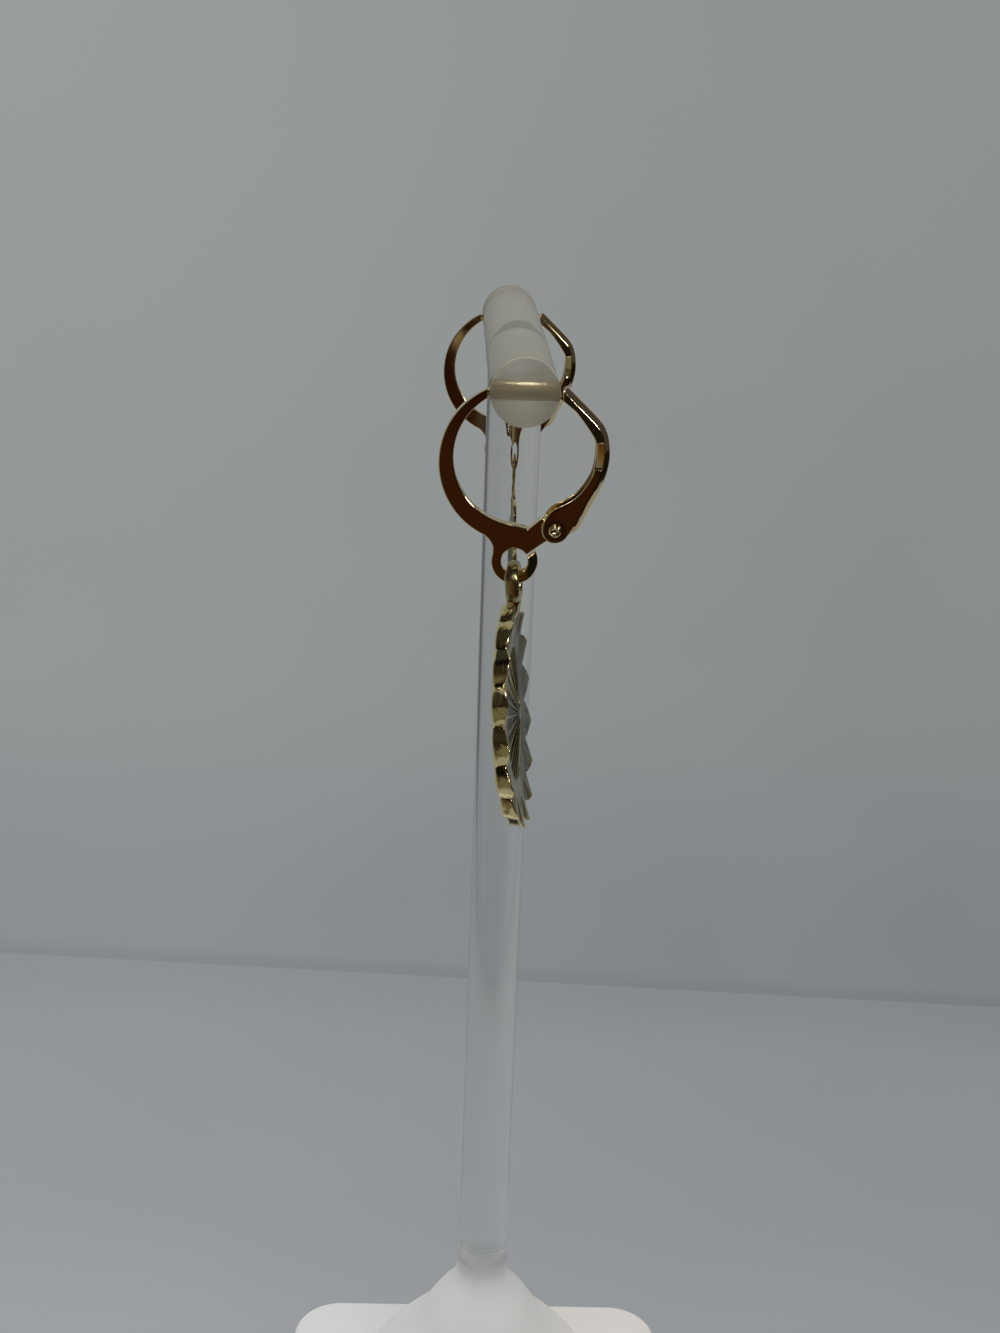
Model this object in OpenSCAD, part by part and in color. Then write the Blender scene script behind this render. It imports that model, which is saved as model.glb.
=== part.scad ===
// A pair of huggie drop earrings on a clear T-bar stand.
// Origin: middle of the foot's underside. X runs from the plain side of the
// hoops to the clasp side, Y along the bar, Z up. Millimetres.

/* [Stand] */
// Width and depth of the square foot
foot_w = 36; // [30:1:60]
// Thickness of the foot
foot_t = 5; // [4:0.5:8]
// Radius of the foot's corners
foot_corner = 3; // [1:0.5:8]
// Depth of the post's seat in the foot
seat_depth = 2.5; // [1:0.5:3]
// Diameter of the post
post_d = 4.25; // [3.5:0.05:4.6]
// Diameter of the cross bar
bar_d = 4.7; // [4.6:0.05:5]
// Length of the cross bar
bar_l = 41.7; // [41.6:0.1:44]
// Height of the bar's axis above the surface
bar_h = 105; // [80:1:150]
// Distance of each earring from the middle of the bar
ear_y = 19.35; // [18:0.05:19.4]
// Diameter of the holes for the ear wires
hole_d = 1.5; // [1.5:0.05:1.6]

/* [Hoop] */
// Thickness of the flat C plate
plate_t = 1; // [0.8:0.05:1]
// Outer radius of the C plate
plate_r = 5.5; // [5.4:0.02:5.6]
// Inner radius of the C plate
inner_r = 4.67; // [4.6:0.01:4.7]
// Diameter of the ear wire
wire_d = 0.62; // [0.5:0.01:0.64]
// Outer radius of the bottom ring
ring_r = 1.6; // [1.5:0.02:1.64]
// Radius of the hole in the bottom ring
ring_hole_r = 0.92; // [0.9:0.01:0.94]
// Width of the slit at the ring's open end
slit_w = 0.12; // [0.08:0.01:0.16]

/* [Clasp] */
// Width of the lever across its two cheeks
lever_w = 1.8; // [1.8:0.05:2]
// Thickness of each cheek of the lever
cheek_t = 0.32; // [0.25:0.01:0.32]
// Thickness of the lever's back
back_t = 0.3; // [0.25:0.01:0.3]
// Radius of the lever's boss round the rivet
boss_r = 0.95; // [0.9:0.01:1]
// Radius of the rivet's shank
shank_r = 0.33; // [0.3:0.01:0.36]
// Radius of the rivet's domed heads
head_r = 0.53; // [0.5:0.01:0.6]
// Height of the rivet's domed heads
head_h = 0.28; // [0.2:0.01:0.35]

/* [Drop] */
// Number of petals
petals = 16; // [12:4:20]
// Radius to the petals' tips
tip_r = 8.07; // [7.6:0.01:8.2]
// Radius to the valleys between the petals
valley_r = 7.1; // [6.9:0.05:7.2]
// Thickness of the medallion at the tips
medal_t = 1.13; // [1:0.01:1.2]
// Depth of the valleys below the tips
valley_depth = 0.46; // [0.3:0.01:0.5]
// Inner radius of the bail
bail_r = 0.8; // [0.75:0.01:0.85]
// Thickness of the bail's wire along its radius
bail_wire = 0.5; // [0.45:0.01:0.52]
// Width of the bail's wire across the loop
bail_w = 0.85; // [0.8:0.01:0.9]
// Turn of the hanging medallion away from the bar's direction
drop_turn = 7.6; // [0:0.1:8]
// Lean of the hanging medallion, its foot towards the clasp
drop_lean = 5; // [0:0.1:6]

/* [Hidden] */
$fn = 96;
glass = [0.85, 0.88, 0.9, 0.4];
gold = [0.83, 0.66, 0.3];
// The hoop's own frame has its origin on the bar's axis; its outlines are drawn
// in the plane of the hoop, first value towards the clasp, second value up.
plate_c = [-0.12, -4.95];
inner_c = [0.05, -4.55];
plate_end = -2.43;
wire_path_r = plate_r - wire_d / 2;
wire_from = 58;
wire_to = 128;
ring_c = [-0.26, -11.74];
pivot = [2.4, -9.45];
arm_low = [1.85, -10.28];
arm_low_start = [0.55, -11.22];
arm_slope = atan2(arm_low[1] - arm_low_start[1], arm_low[0] - arm_low_start[0]);
lever_c = [-0.1, -4.3];
lever_r = 5.87;
throat_c = [1, -4.1];
throat_r = 4.25;
throat_x = 5;
tip_top = [2.8, 0.25];
bend = [5.4, -2.3];
heel = [4.74, -7.7];
lip = [4, -9.34];
cavity_w = lever_w - 2 * cheek_t;
recess = 0.14;
flat_from = [4.6, -5.3];
flat_size = [0.87, 2.1];
fit = 0.04;
play = 0.02;
glue = 0.03;
shank_l = lever_w + 2 * glue;
dome_r = (head_r * head_r + head_h * head_h) / (2 * head_h);
hang_gap = 0.11;
// The round loop sits on the two edges of the ring's hole, so its middle stands clear of it
loop_sag = bail_r - sqrt(bail_r * bail_r - plate_t * plate_t / 4);
hang = [ring_c[0], ring_c[1] - ring_hole_r + loop_sag + hang_gap];
bail_mid = bail_r + bail_wire / 2;
medal_c = -10.5;
medal_n = -0.63;
stem_from = [-0.75, -0.45, -3.78];
stem_size = [1, 0.9, 1.88];
steps = 4 * petals;
step_a = 360 / steps;

// The medallion's own frame has its origin in the middle of the disc and its
// relief on the +X side; heights are measured from the middle plane.
hub_r = 0.9;
ray_from = 1.3;
ray_to = 4.8;
band_r = 5.2;
hub_h = 0.5;
field_h = 0.34;
ray_h = 0.07;
tip_h = medal_t / 2;
valley_h = tip_h - valley_depth;
edge_t = 0.12;
back_taper = 0.985;
// Shape of half a petal from tip to valley, as shares of the rim's two limits
petal_out = [1, 0.72, 0, 0.72];
petal_up = [1, 0.5, 0, 0.5];
function rim_r(j) = valley_r + (tip_r - valley_r) * petal_out[j % 4];
function rim_h(j) = valley_h + (tip_h - valley_h) * petal_up[j % 4];
function ray(j) = j % 2 == 0 ? ray_h : -ray_h;
function spot(r, h, j) = [h, r * sin(j * step_a), r * cos(j * step_a)];
function ring_of(r, h) = [for (j = [0:steps - 1]) spot(r, h, j)];
function quads(a, b) = [for (j = [0:steps - 1]) let (k = (j + 1) % steps)
    each [[a + j, b + j, a + k], [a + k, b + j, b + k]]];

// Shifts point p by the thickness of the lever's back, square to the line from a to b
function inside(p, a, b) = p + back_t * [a[1] - b[1], b[0] - a[0]] / norm(b - a);
// Point far beyond b on the line from a
function beyond(a, b) = b + 2 * (b - a) / norm(b - a);

// Extrudes a drawing of the hoop's plane by t, about the middle of the plate
module across(t) rotate([90, 0, 0]) linear_extrude(t, center = true) children();

module disc(c, r) translate(c) circle(r);

// Places one earring: side is -1 for the front one and 1 for the back one
module hung(side) translate([0, side * ear_y, bar_h]) children();

module foot() {
    color(glass) difference() {
        linear_extrude(foot_t) union() {
            square([foot_w - 2 * foot_corner, foot_w], center = true);
            square([foot_w, foot_w - 2 * foot_corner], center = true);
            for (x = [-1, 1], y = [-1, 1])
                disc([x, y] * (foot_w / 2 - foot_corner), foot_corner);
        }
        translate([0, 0, foot_t - seat_depth - play]) cylinder(h = foot_t, r = post_d / 2 + fit);
    }
}

module post() {
    foot_of_post = foot_t - seat_depth;
    color(glass) difference() {
        translate([0, 0, foot_of_post]) cylinder(h = bar_h - foot_of_post, d = post_d);
        translate([0, 0, bar_h]) rotate([90, 0, 0])
            cylinder(h = 2 * post_d, r = bar_d / 2 + glue, center = true);
    }
}

module bar() {
    color(glass) translate([0, 0, bar_h]) difference() {
        rotate([90, 0, 0]) cylinder(h = bar_l, d = bar_d, center = true);
        for (side = [-1, 1])
            translate([0, side * ear_y, 0]) rotate([0, 90, 0])
                cylinder(h = 2 * bar_d, d = hole_d, center = true);
    }
}

// The crescent, cut off on the bar side and behind the arm
module crescent_2d() {
    intersection() {
        difference() {
            disc(plate_c, plate_r);
            disc(inner_c, inner_r);
        }
        polygon([[-7, 2], [plate_end, 2], [plate_end, -4], [0.9, -8.8], [0.9, -12], [-7, -12]]);
    }
}

// The arm runs from the crescent's foot to an eye round the rivet
module arm_2d() {
    polygon([[-0.4, -9.2], [0.55, -9.42], [1.5, -8.68], pivot, arm_low, arm_low_start, [-0.4, -10.8]]);
    disc(pivot, boss_r);
}

// The neck widens from the ring into the crescent
module neck_2d() {
    polygon([[-2.3, -10.05], [-1.98, -10.36], [-1.76, -10.75], [-1.74, -11.2], [arm_low_start[0], -11.2],
             [0.9, -9.6], [-1.2, -9.3]]);
}

module slit_2d() {
    translate(arm_low_start) rotate(arm_slope) translate([-0.4, -slit_w]) square([2.4, slit_w]);
}

module plate_2d() {
    difference() {
        union() {
            crescent_2d();
            arm_2d();
            neck_2d();
            disc(ring_c, ring_r);
        }
        disc(ring_c, ring_hole_r);
        disc(pivot, shank_r + play);
        slit_2d();
    }
}

module ear_wire() {
    translate([plate_c[0], 0, plate_c[1]]) rotate([90, 0, 0]) {
        rotate([0, 0, wire_from]) rotate_extrude(angle = wire_to - wire_from)
            translate([wire_path_r, 0]) circle(d = wire_d);
        rotate([0, 0, wire_from]) translate([wire_path_r, 0, 0]) sphere(d = wire_d);
    }
}

module hoop(side) {
    color(gold) hung(side) {
        across(plate_t) plate_2d();
        ear_wire();
    }
}

module rivet(side) {
    color(gold) hung(side) translate([pivot[0], 0, pivot[1]]) {
        rotate([90, 0, 0]) cylinder(h = shank_l, r = shank_r, center = true);
        for (y = [-1, 1]) intersection() {
            translate([0, y * (shank_l / 2 + head_h - dome_r), 0]) sphere(dome_r);
            translate([0, y * (shank_l / 2 + head_h / 2), 0]) cube([4, head_h, 4], center = true);
        }
    }
}

// The rounded inner side of the lever, straight beside the flats
module throat_2d() {
    intersection() {
        disc(throat_c, throat_r);
        translate([throat_x - 2 * throat_r, throat_c[1] - throat_r]) square(2 * throat_r);
    }
}

// The curved middle of the lever, beside the finger's side of the hoop
module band_2d() {
    difference() {
        intersection() {
            disc(lever_c, lever_r);
            polygon([[1.92, -8.64], [3.2, -6.9], [4.3, -3.1], bend, [7, -2.3], [7, -8], [4.6, -8],
                     [3.4, -9.4], [2.4, -9.9]]);
        }
        throat_2d();
    }
}

// The straight upper run, up to the tip that closes on the wire
module run_2d() {
    polygon([tip_top, bend, [5.5, -2.8], [5.2, -3.4], [4.77, -3.12], [4.47, -2.58], [3.4, -1.27],
             [2.57, -0.63]]);
}

// The lip at the lower end of the back
module lip_2d() {
    polygon([heel, lip, [3.46, -9.71], [2.9, -9.2], [3.9, -7.6]]);
}

// The channel inside the lever: all of the silhouette but the back
module channel_2d() {
    union() {
        intersection() {
            disc(lever_c, lever_r - back_t);
            polygon([inside(beyond(bend, tip_top), bend, tip_top),
                     inside(beyond(tip_top, bend), bend, tip_top), [7, -8.2], [1, -8.2]]);
        }
        polygon([inside(heel, lip, heel), inside(beyond(heel, lip), lip, heel), [1, -11.5], [1, -8.1],
                 [3.5, -7.2]]);
    }
}

module lever(side) {
    color(gold) hung(side) difference() {
        union() {
            across(lever_w) band_2d();
            across(lever_w) run_2d();
            across(lever_w) lip_2d();
            across(lever_w) disc(pivot, boss_r);
        }
        across(cavity_w) channel_2d();
        translate([pivot[0], 0, pivot[1]]) rotate([90, 0, 0])
            cylinder(h = 2 * lever_w, r = shank_r + fit, center = true);
        // A flat is sunk into both cheeks at the bend
        for (y = [-1, 1])
            translate([flat_from[0], y * (lever_w / 2) - recess, flat_from[1]])
                cube([flat_size[0], 2 * recess, flat_size[1]]);
    }
}

// Cast medallion: a ring of keeled petals round a field of fine rays
module medallion() {
    rings = [
        ring_of(hub_r, hub_h),
        [for (j = [0:steps - 1]) spot(ray_from, hub_h + ray(j), j)],
        [for (j = [0:steps - 1]) spot(ray_to, field_h + ray(j), j)],
        ring_of(band_r, field_h),
        [for (j = [0:steps - 1]) spot(rim_r(j), rim_h(j), j)],
        [for (j = [0:steps - 1]) spot(rim_r(j), edge_t - tip_h, j)],
        [for (j = [0:steps - 1]) spot(rim_r(j) * back_taper, -tip_h, j)]
    ];
    count = len(rings);
    points = concat([[hub_h + ray_h, 0, 0]], [for (r = rings) each r], [[-tip_h, 0, 0]]);
    last = 1 + count * steps;
    faces = concat(
        [for (j = [0:steps - 1]) [0, 1 + j, 1 + (j + 1) % steps]],
        [for (i = [0:count - 2]) each quads(1 + i * steps, 1 + (i + 1) * steps)],
        [for (j = [0:steps - 1]) [last, last - steps + (j + 1) % steps, last - steps + j]]
    );
    polyhedron(points, faces);
}

module bail() {
    straight = bail_w - bail_wire;
    translate([0, 0, -bail_r]) rotate([0, 90, 0]) rotate_extrude() translate([bail_mid, 0]) {
        square([bail_wire, straight], center = true);
        for (s = [-1, 1]) translate([0, s * straight / 2]) circle(d = bail_wire);
    }
    // The stem that the bail and the top petal are cast on
    translate(stem_from) cube(stem_size);
}

module drop(side) {
    color(gold) hung(side) translate([hang[0], 0, hang[1]]) rotate([0, -drop_lean, -drop_turn]) {
        translate([medal_n, 0, medal_c]) medallion();
        bail();
    }
}

module hoop_front() hoop(-1);
module hoop_back() hoop(1);
module rivet_front() rivet(-1);
module rivet_back() rivet(1);
module lever_front() lever(-1);
module lever_back() lever(1);
module drop_front() drop(-1);
module drop_back() drop(1);

foot();
post();
bar();
hoop_front();
rivet_front();
lever_front();
drop_front();
hoop_back();
rivet_back();
lever_back();
drop_back();
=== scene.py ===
"""Looks of a pair of gold huggie drop earrings hanging on a clear T-bar stand.

Every class below builds one sub-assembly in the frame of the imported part, with sizes in millimetres.
The hoop, rivet and lever are drawn in the hoop's plane: x towards the clasp, z up, with the origin on
the bar's axis. The drop has its own frame, with x out of the medallion's relief side.
"""

from __future__ import annotations

import logging
import math
import sys
from collections.abc import Callable
from dataclasses import dataclass, field
from enum import Enum, IntEnum

import bmesh
import bpy
import numpy as np
from mathutils import Matrix, Vector, noise
from mathutils.geometry import delaunay_2d_cdt

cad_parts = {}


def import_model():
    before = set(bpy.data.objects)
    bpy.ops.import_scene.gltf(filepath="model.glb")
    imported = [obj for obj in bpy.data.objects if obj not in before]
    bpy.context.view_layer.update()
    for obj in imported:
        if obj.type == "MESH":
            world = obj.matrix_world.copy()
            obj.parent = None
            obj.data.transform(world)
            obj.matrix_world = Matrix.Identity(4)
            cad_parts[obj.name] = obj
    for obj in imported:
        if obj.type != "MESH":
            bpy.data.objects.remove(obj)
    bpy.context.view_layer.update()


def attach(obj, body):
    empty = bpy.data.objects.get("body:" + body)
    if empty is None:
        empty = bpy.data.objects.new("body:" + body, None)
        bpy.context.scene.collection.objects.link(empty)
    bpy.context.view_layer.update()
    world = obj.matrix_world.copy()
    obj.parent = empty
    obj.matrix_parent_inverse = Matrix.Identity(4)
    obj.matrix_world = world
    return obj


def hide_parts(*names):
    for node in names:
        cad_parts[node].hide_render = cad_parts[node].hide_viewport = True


LOG = logging.getLogger("earrings")
MM = 0.001
Point = tuple[float, float]
Triple = tuple[float, float, float]
Tone = tuple[int, int, int]


class Side(Enum):
    """Which of the pair: the front one hangs at the bar's near end."""

    FRONT = "front"
    BACK = "back"

    @property
    def sign(self) -> int:
        """Direction along the bar, -1 for the near end."""
        return -1 if self is Side.FRONT else 1


class Axis(IntEnum):
    """The three axes of a frame."""

    X = 0
    Y = 1
    Z = 2


class Joining(Enum):
    """How two closed meshes are put together."""

    ADD = "UNION"
    CUT = "DIFFERENCE"


# Small tools for lines and meshes


def ramp(low: float, high: float, value: np.ndarray | float) -> np.ndarray:
    """Smooth ramp from 0 at low to 1 at high.

    Args:
        low: Value where the ramp starts.
        high: Value where the ramp ends.
        value: Numbers to map.

    Returns:
        The ramp's height for each number.
    """
    t = np.clip((np.asarray(value, float) - low) / (high - low), 0.0, 1.0)
    return t * t * (3.0 - 2.0 * t)


def arc(centre: Point, radius: float, start: float, end: float, count: int = 60) -> list[Point]:
    """Points along an arc, both ends included.

    Args:
        centre: Middle of the circle.
        radius: Radius of the circle.
        start: First angle in degrees, counted from +x towards +z.
        end: Last angle in degrees.
        count: Number of points.

    Returns:
        The points in order.
    """
    angles = np.radians(np.linspace(start, end, count))
    return [(centre[0] + radius * math.cos(a), centre[1] + radius * math.sin(a)) for a in angles]


def around(count: int) -> np.ndarray:
    """Angles of a full turn in radians, evenly spread."""
    return np.linspace(0.0, 2 * math.pi, count, endpoint=False)


def powered(value: np.ndarray | float, power: float) -> np.ndarray | float:
    """Power of a number's size, with the number's own sign."""
    return np.sign(value) * np.abs(value) ** power


def lumps(x: np.ndarray, y: np.ndarray, z: np.ndarray, scale: float) -> np.ndarray:
    """Smooth noise at places on a piece.

    Args:
        x: First part of each place, in millimetres.
        y: Second part of each place.
        z: Third part of each place.
        scale: Number of lumps in a millimetre.

    Returns:
        A value for each place, from about -1 to 1.
    """
    return np.array([noise.noise(Vector((a * scale, b * scale, c * scale))) for a, b, c in zip(x, y, z)])


def evened(points: list[Point], step: float, closed: bool) -> np.ndarray:
    """Spreads points evenly along a line.

    Args:
        points: Corners of the line.
        step: Wanted distance between the new points.
        closed: True if the line returns to its first point.

    Returns:
        The new points, one row each.
    """
    line = np.array(points + points[:1] if closed else points, float)
    along = np.concatenate([[0.0], np.cumsum(np.linalg.norm(np.diff(line, axis=0), axis=1))])
    count = max(8, round(along[-1] / step))
    wanted = np.linspace(0.0, along[-1], count + 1)
    spread = np.column_stack([np.interp(wanted, along, line[:, k]) for k in range(line.shape[1])])
    return spread[:-1] if closed else spread


def softened(points: np.ndarray, width: float, step: float, closed: bool = True) -> np.ndarray:
    """Rounds the corners of an evenly spaced line.

    Args:
        points: The line's points, one row each.
        width: How far a corner's rounding reaches.
        step: Distance between the points.
        closed: True if the line returns to its first point.

    Returns:
        The rounded line.
    """
    reach = max(1, math.ceil(3 * width / step))
    offsets = np.arange(-reach, reach + 1)
    weights = np.exp(-0.5 * (offsets * step / width) ** 2)
    weights /= weights.sum()
    if closed:
        return np.sum([np.roll(points, -k, axis=0) * w for k, w in zip(offsets, weights)], axis=0)
    head = 2 * points[0] - points[reach:0:-1]
    tail = 2 * points[-1] - points[-2:-reach - 2:-1]
    padded = np.concatenate([head, points, tail])
    return np.sum([padded[reach + k:reach + k + len(points)] * w for k, w in zip(offsets, weights)], axis=0)


def inward(loop: np.ndarray) -> np.ndarray:
    """Unit normals that point into a closed line.

    Args:
        loop: The line's points, counter-clockwise.

    Returns:
        One normal for each point.
    """
    tangent = np.roll(loop, -1, axis=0) - np.roll(loop, 1, axis=0)
    tangent /= np.maximum(np.linalg.norm(tangent, axis=1, keepdims=True), 1e-9)
    return np.column_stack([-tangent[:, 1], tangent[:, 0]])


def edge_steps(radius: float, count: int = 4) -> list[Point]:
    """Inset and depth of the rows that round an edge, from the face outwards.

    Args:
        radius: Radius of the rounding.
        count: Number of faces round the edge.

    Returns:
        Pairs of inset and depth.
    """
    angles = np.linspace(0.0, math.pi / 2, count + 1)
    return [(radius * (1 - math.sin(a)), radius * (1 - math.cos(a))) for a in angles]


def raised(loop: np.ndarray, y: np.ndarray | float) -> np.ndarray:
    """Puts a line of the hoop's plane at a place across it."""
    return np.column_stack([loop[:, 0], np.broadcast_to(y, len(loop)), loop[:, 1]])


@dataclass
class Shell:
    """Points and faces of one piece in millimetres, gathered bit by bit."""

    points: list[np.ndarray] = field(default_factory=list)
    # Darkening of each point, for grime and painted shade.
    marks: list[np.ndarray] = field(default_factory=list)
    faces: list[tuple[int, ...]] = field(default_factory=list)
    flat: list[int] = field(default_factory=list)
    size: int = 0

    def add(self, rows: list[np.ndarray], marks: np.ndarray | None = None, looped: bool = False) -> int:
        """Adds closed rows of points and the faces between them.

        Args:
            rows: Rows of points, all of one length.
            marks: How dark each point is painted, from 0 to 1, for grime and painted shade.
            looped: True if the last row joins the first one.

        Returns:
            Index of the first point.
        """
        first, columns = self.size, len(rows[0])
        grid = np.concatenate(rows)
        self.points.append(grid)
        self.marks.append(np.zeros(len(grid)) if marks is None else marks)
        self.size += len(grid)
        for i in range(len(rows) if looped else len(rows) - 1):
            here = first + i * columns
            after = first + (i + 1) % len(rows) * columns
            for j in range(columns):
                k = (j + 1) % columns
                self.faces.append((here + j, here + k, after + k, after + j))
        return first

    def cap(self, first: int, count: int) -> None:
        """Closes a row of points with one flat face."""
        self.flat.append(len(self.faces))
        self.faces.append(tuple(range(first, first + count)))

    def closed_tube(self, rows: list[np.ndarray], marks: np.ndarray | None = None) -> None:
        """Adds a tube of closed rows with a flat face at both ends.

        Args:
            rows: Rows of points, all of one length.
            marks: How dark each point is painted, from 0 to 1, for grime and painted shade.
        """
        first = self.add(rows, marks)
        columns = len(rows[0])
        self.cap(first, columns)
        self.cap(first + (len(rows) - 1) * columns, columns)

    def skin(self, first: int, loop: np.ndarray, grid: float,
             lift: Callable[[np.ndarray], np.ndarray]) -> None:
        """Closes a row with small triangles, so that it can be gently bent.

        Args:
            first: Index of the row's first point.
            loop: The row in its plane.
            grid: Distance between the points inside.
            lift: Puts points of the plane in their place.
        """
        low, high = loop.min(axis=0), loop.max(axis=0)
        across, up = np.meshgrid(np.arange(low[0], high[0], grid), np.arange(low[1], high[1], grid))
        spots = np.column_stack([across.ravel(), up.ravel()])
        after = np.roll(loop, -1, axis=0)
        x, z = spots[:, :1], spots[:, 1:]
        with np.errstate(divide="ignore", invalid="ignore"):
            meets = loop[:, 0] + (z - loop[:, 1]) * (after[:, 0] - loop[:, 0]) / (after[:, 1] - loop[:, 1])
        crossed = ((loop[:, 1] > z) != (after[:, 1] > z)) & (x < meets)
        clear = np.hypot(x - loop[:, 0], z - loop[:, 1]).min(axis=1) > 0.4 * grid
        spots = spots[(crossed.sum(axis=1) % 2 == 1) & clear]
        count = len(loop)
        flat = np.concatenate([loop, spots])
        edges = [(i, (i + 1) % count) for i in range(count)]
        result = delaunay_2d_cdt([Vector(p) for p in flat.tolist()], edges, [], 1, 1e-7)
        nearest = [int(np.argmin(np.hypot(*(flat - np.array(spot)).T))) for spot in result[0]]
        inner = self.size
        self.points.append(lift(spots))
        self.marks.append(np.zeros(len(spots)))
        self.size += len(spots)
        for face in result[2]:
            corners = [nearest[v] for v in face]
            if len(set(corners)) == len(corners):
                self.faces.append(tuple(first + c if c < count else inner + c - count for c in corners))

    def build(self, name: str, place: Matrix, crease: float = 40.0) -> bpy.types.Object:
        """Makes the object.

        Args:
            name: Name of the piece.
            place: Where the piece's own frame lies in the part, in millimetres.
            crease: Edges sharper than this many degrees stay sharp.

        Returns:
            The new object, linked to the scene.
        """
        spots = np.concatenate(self.points)
        turn = np.array(place)
        spots = (spots @ turn[:3, :3].T + turn[:3, 3]) * MM
        mesh = bpy.data.meshes.new(name)
        mesh.from_pydata(spots.tolist(), [], self.faces)
        mesh.polygons.foreach_set("use_smooth", [True] * len(self.faces))
        for index in self.flat:
            mesh.polygons[index].use_smooth = False
        # Darkening marks for grime and painted shade, which the gold finish reads.
        dark_marks = mesh.attributes.new("dark_marks", "FLOAT", "POINT")
        dark_marks.data.foreach_set("value", np.concatenate(self.marks))
        turn_outwards(mesh)
        mesh.set_sharp_from_angle(angle=math.radians(crease))
        piece = bpy.data.objects.new(name, mesh)
        bpy.context.scene.collection.objects.link(piece)
        return piece


def turn_outwards(mesh: bpy.types.Mesh) -> None:
    """Points every face of closed shells outwards.

    Args:
        mesh: The mesh that changes.
    """
    work = bmesh.new()
    work.from_mesh(mesh)
    bmesh.ops.recalc_face_normals(work, faces=work.faces)
    work.to_mesh(mesh)
    work.free()


# Finishes


@dataclass
class Graph:
    """Short hand for building one node tree."""

    tree: bpy.types.NodeTree

    def node(self, kind: str, **settings: object) -> bpy.types.Node:
        """Adds a node and sets its properties, or its sockets where the name starts with in_.

        Args:
            kind: Blender's name of the node type.
            settings: Properties, and sockets by name or number after in_.

        Returns:
            The new node.
        """
        made = self.tree.nodes.new(kind)
        for key, value in settings.items():
            if not key.startswith("in_"):
                setattr(made, key, value)
        for key, value in settings.items():
            if key.startswith("in_"):
                name = key[3:].replace("_", " ")
                self.feed(made.inputs[int(name) if name.isdigit() else name], value)
        return made

    def feed(self, socket: bpy.types.NodeSocket, value: object) -> None:
        """Links a socket to another one, or sets its value.

        Args:
            socket: Socket that is fed.
            value: Socket to link, or a plain value.
        """
        if isinstance(value, bpy.types.NodeSocket):
            self.tree.links.new(value, socket)
        else:
            socket.default_value = value

    def math(self, operation: str, a: object, b: object = 0.0) -> bpy.types.NodeSocket:
        """Result of one sum on two numbers or sockets."""
        return self.node("ShaderNodeMath", operation=operation, in_0=a, in_1=b).outputs[0]

    def span(self, value: object, low: float, high: float, start: float = 0.0,
             end: float = 1.0) -> bpy.types.NodeSocket:
        """Smooth map of a value.

        Args:
            value: Socket to map.
            low: Value that gives start.
            high: Value that gives end.
            start: Result at low and before it.
            end: Result at high and past it.

        Returns:
            The mapped value's socket.
        """
        made = self.node("ShaderNodeMapRange", interpolation_type="SMOOTHSTEP")
        for index, item in enumerate((value, low, high, start, end)):
            self.feed(made.inputs[index], item)
        return made.outputs[0]

    def blend(self, share: object, a: object, b: object) -> bpy.types.NodeSocket:
        """Colour between a and b.

        Args:
            share: How much of b, from 0 to 1.
            a: First colour or socket.
            b: Second colour or socket.

        Returns:
            The mixed colour's socket.
        """
        made = self.node("ShaderNodeMix", data_type="RGBA", clamp_factor=True)
        self.feed(made.inputs[0], share)
        self.feed(made.inputs[6], a)
        self.feed(made.inputs[7], b)
        return made.outputs[2]

    def mixed(self, share: object, a: object, b: object) -> bpy.types.NodeSocket:
        """Shader between a and b, where share says how much of b."""
        return self.node("ShaderNodeMixShader", in_0=share, in_1=a, in_2=b).outputs[0]

    def noise(self, vector: object, scale: float, detail: float) -> bpy.types.NodeSocket:
        """Value of a noise with features 1 / scale metres in size."""
        return self.node("ShaderNodeTexNoise", in_Vector=vector, in_Scale=scale, in_Detail=detail).outputs[0]

    def parts(self, vector: object) -> list[bpy.types.NodeSocket]:
        """Sockets for x, y and z of a vector."""
        return list(self.node("ShaderNodeSeparateXYZ", in_0=vector).outputs)

    def away(self, a: object, b: object, centre: Point) -> bpy.types.NodeSocket:
        """Distance of a place from a centre in one plane.

        Args:
            a: First value of the place.
            b: Second value of the place.
            centre: The centre's two values.

        Returns:
            The distance's socket.
        """
        across = self.math("POWER", self.math("SUBTRACT", a, centre[0]), 2.0)
        up = self.math("POWER", self.math("SUBTRACT", b, centre[1]), 2.0)
        return self.math("SQRT", self.math("ADD", across, up))


def new_material(name: str) -> tuple[bpy.types.Material, Graph, bpy.types.Node]:
    """Makes an empty node material.

    Args:
        name: Name of the material.

    Returns:
        The material, the short hand for its node tree, and its output node.
    """
    material = bpy.data.materials.new(name)
    material.use_nodes = True
    material.node_tree.nodes.clear()
    graph = Graph(material.node_tree)
    return material, graph, graph.node("ShaderNodeOutputMaterial")


def rgb(red: float, green: float, blue: float) -> tuple[float, float, float, float]:
    """Colour with full cover."""
    return (red, green, blue, 1.0)


def seen(red: int, green: int, blue: int) -> tuple[float, float, float, float]:
    """Light that shows as a screen colour of 0 to 255 in each part."""
    return rgb(*(((v / 255 + 0.055) / 1.055) ** 2.4 for v in (red, green, blue)))


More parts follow.
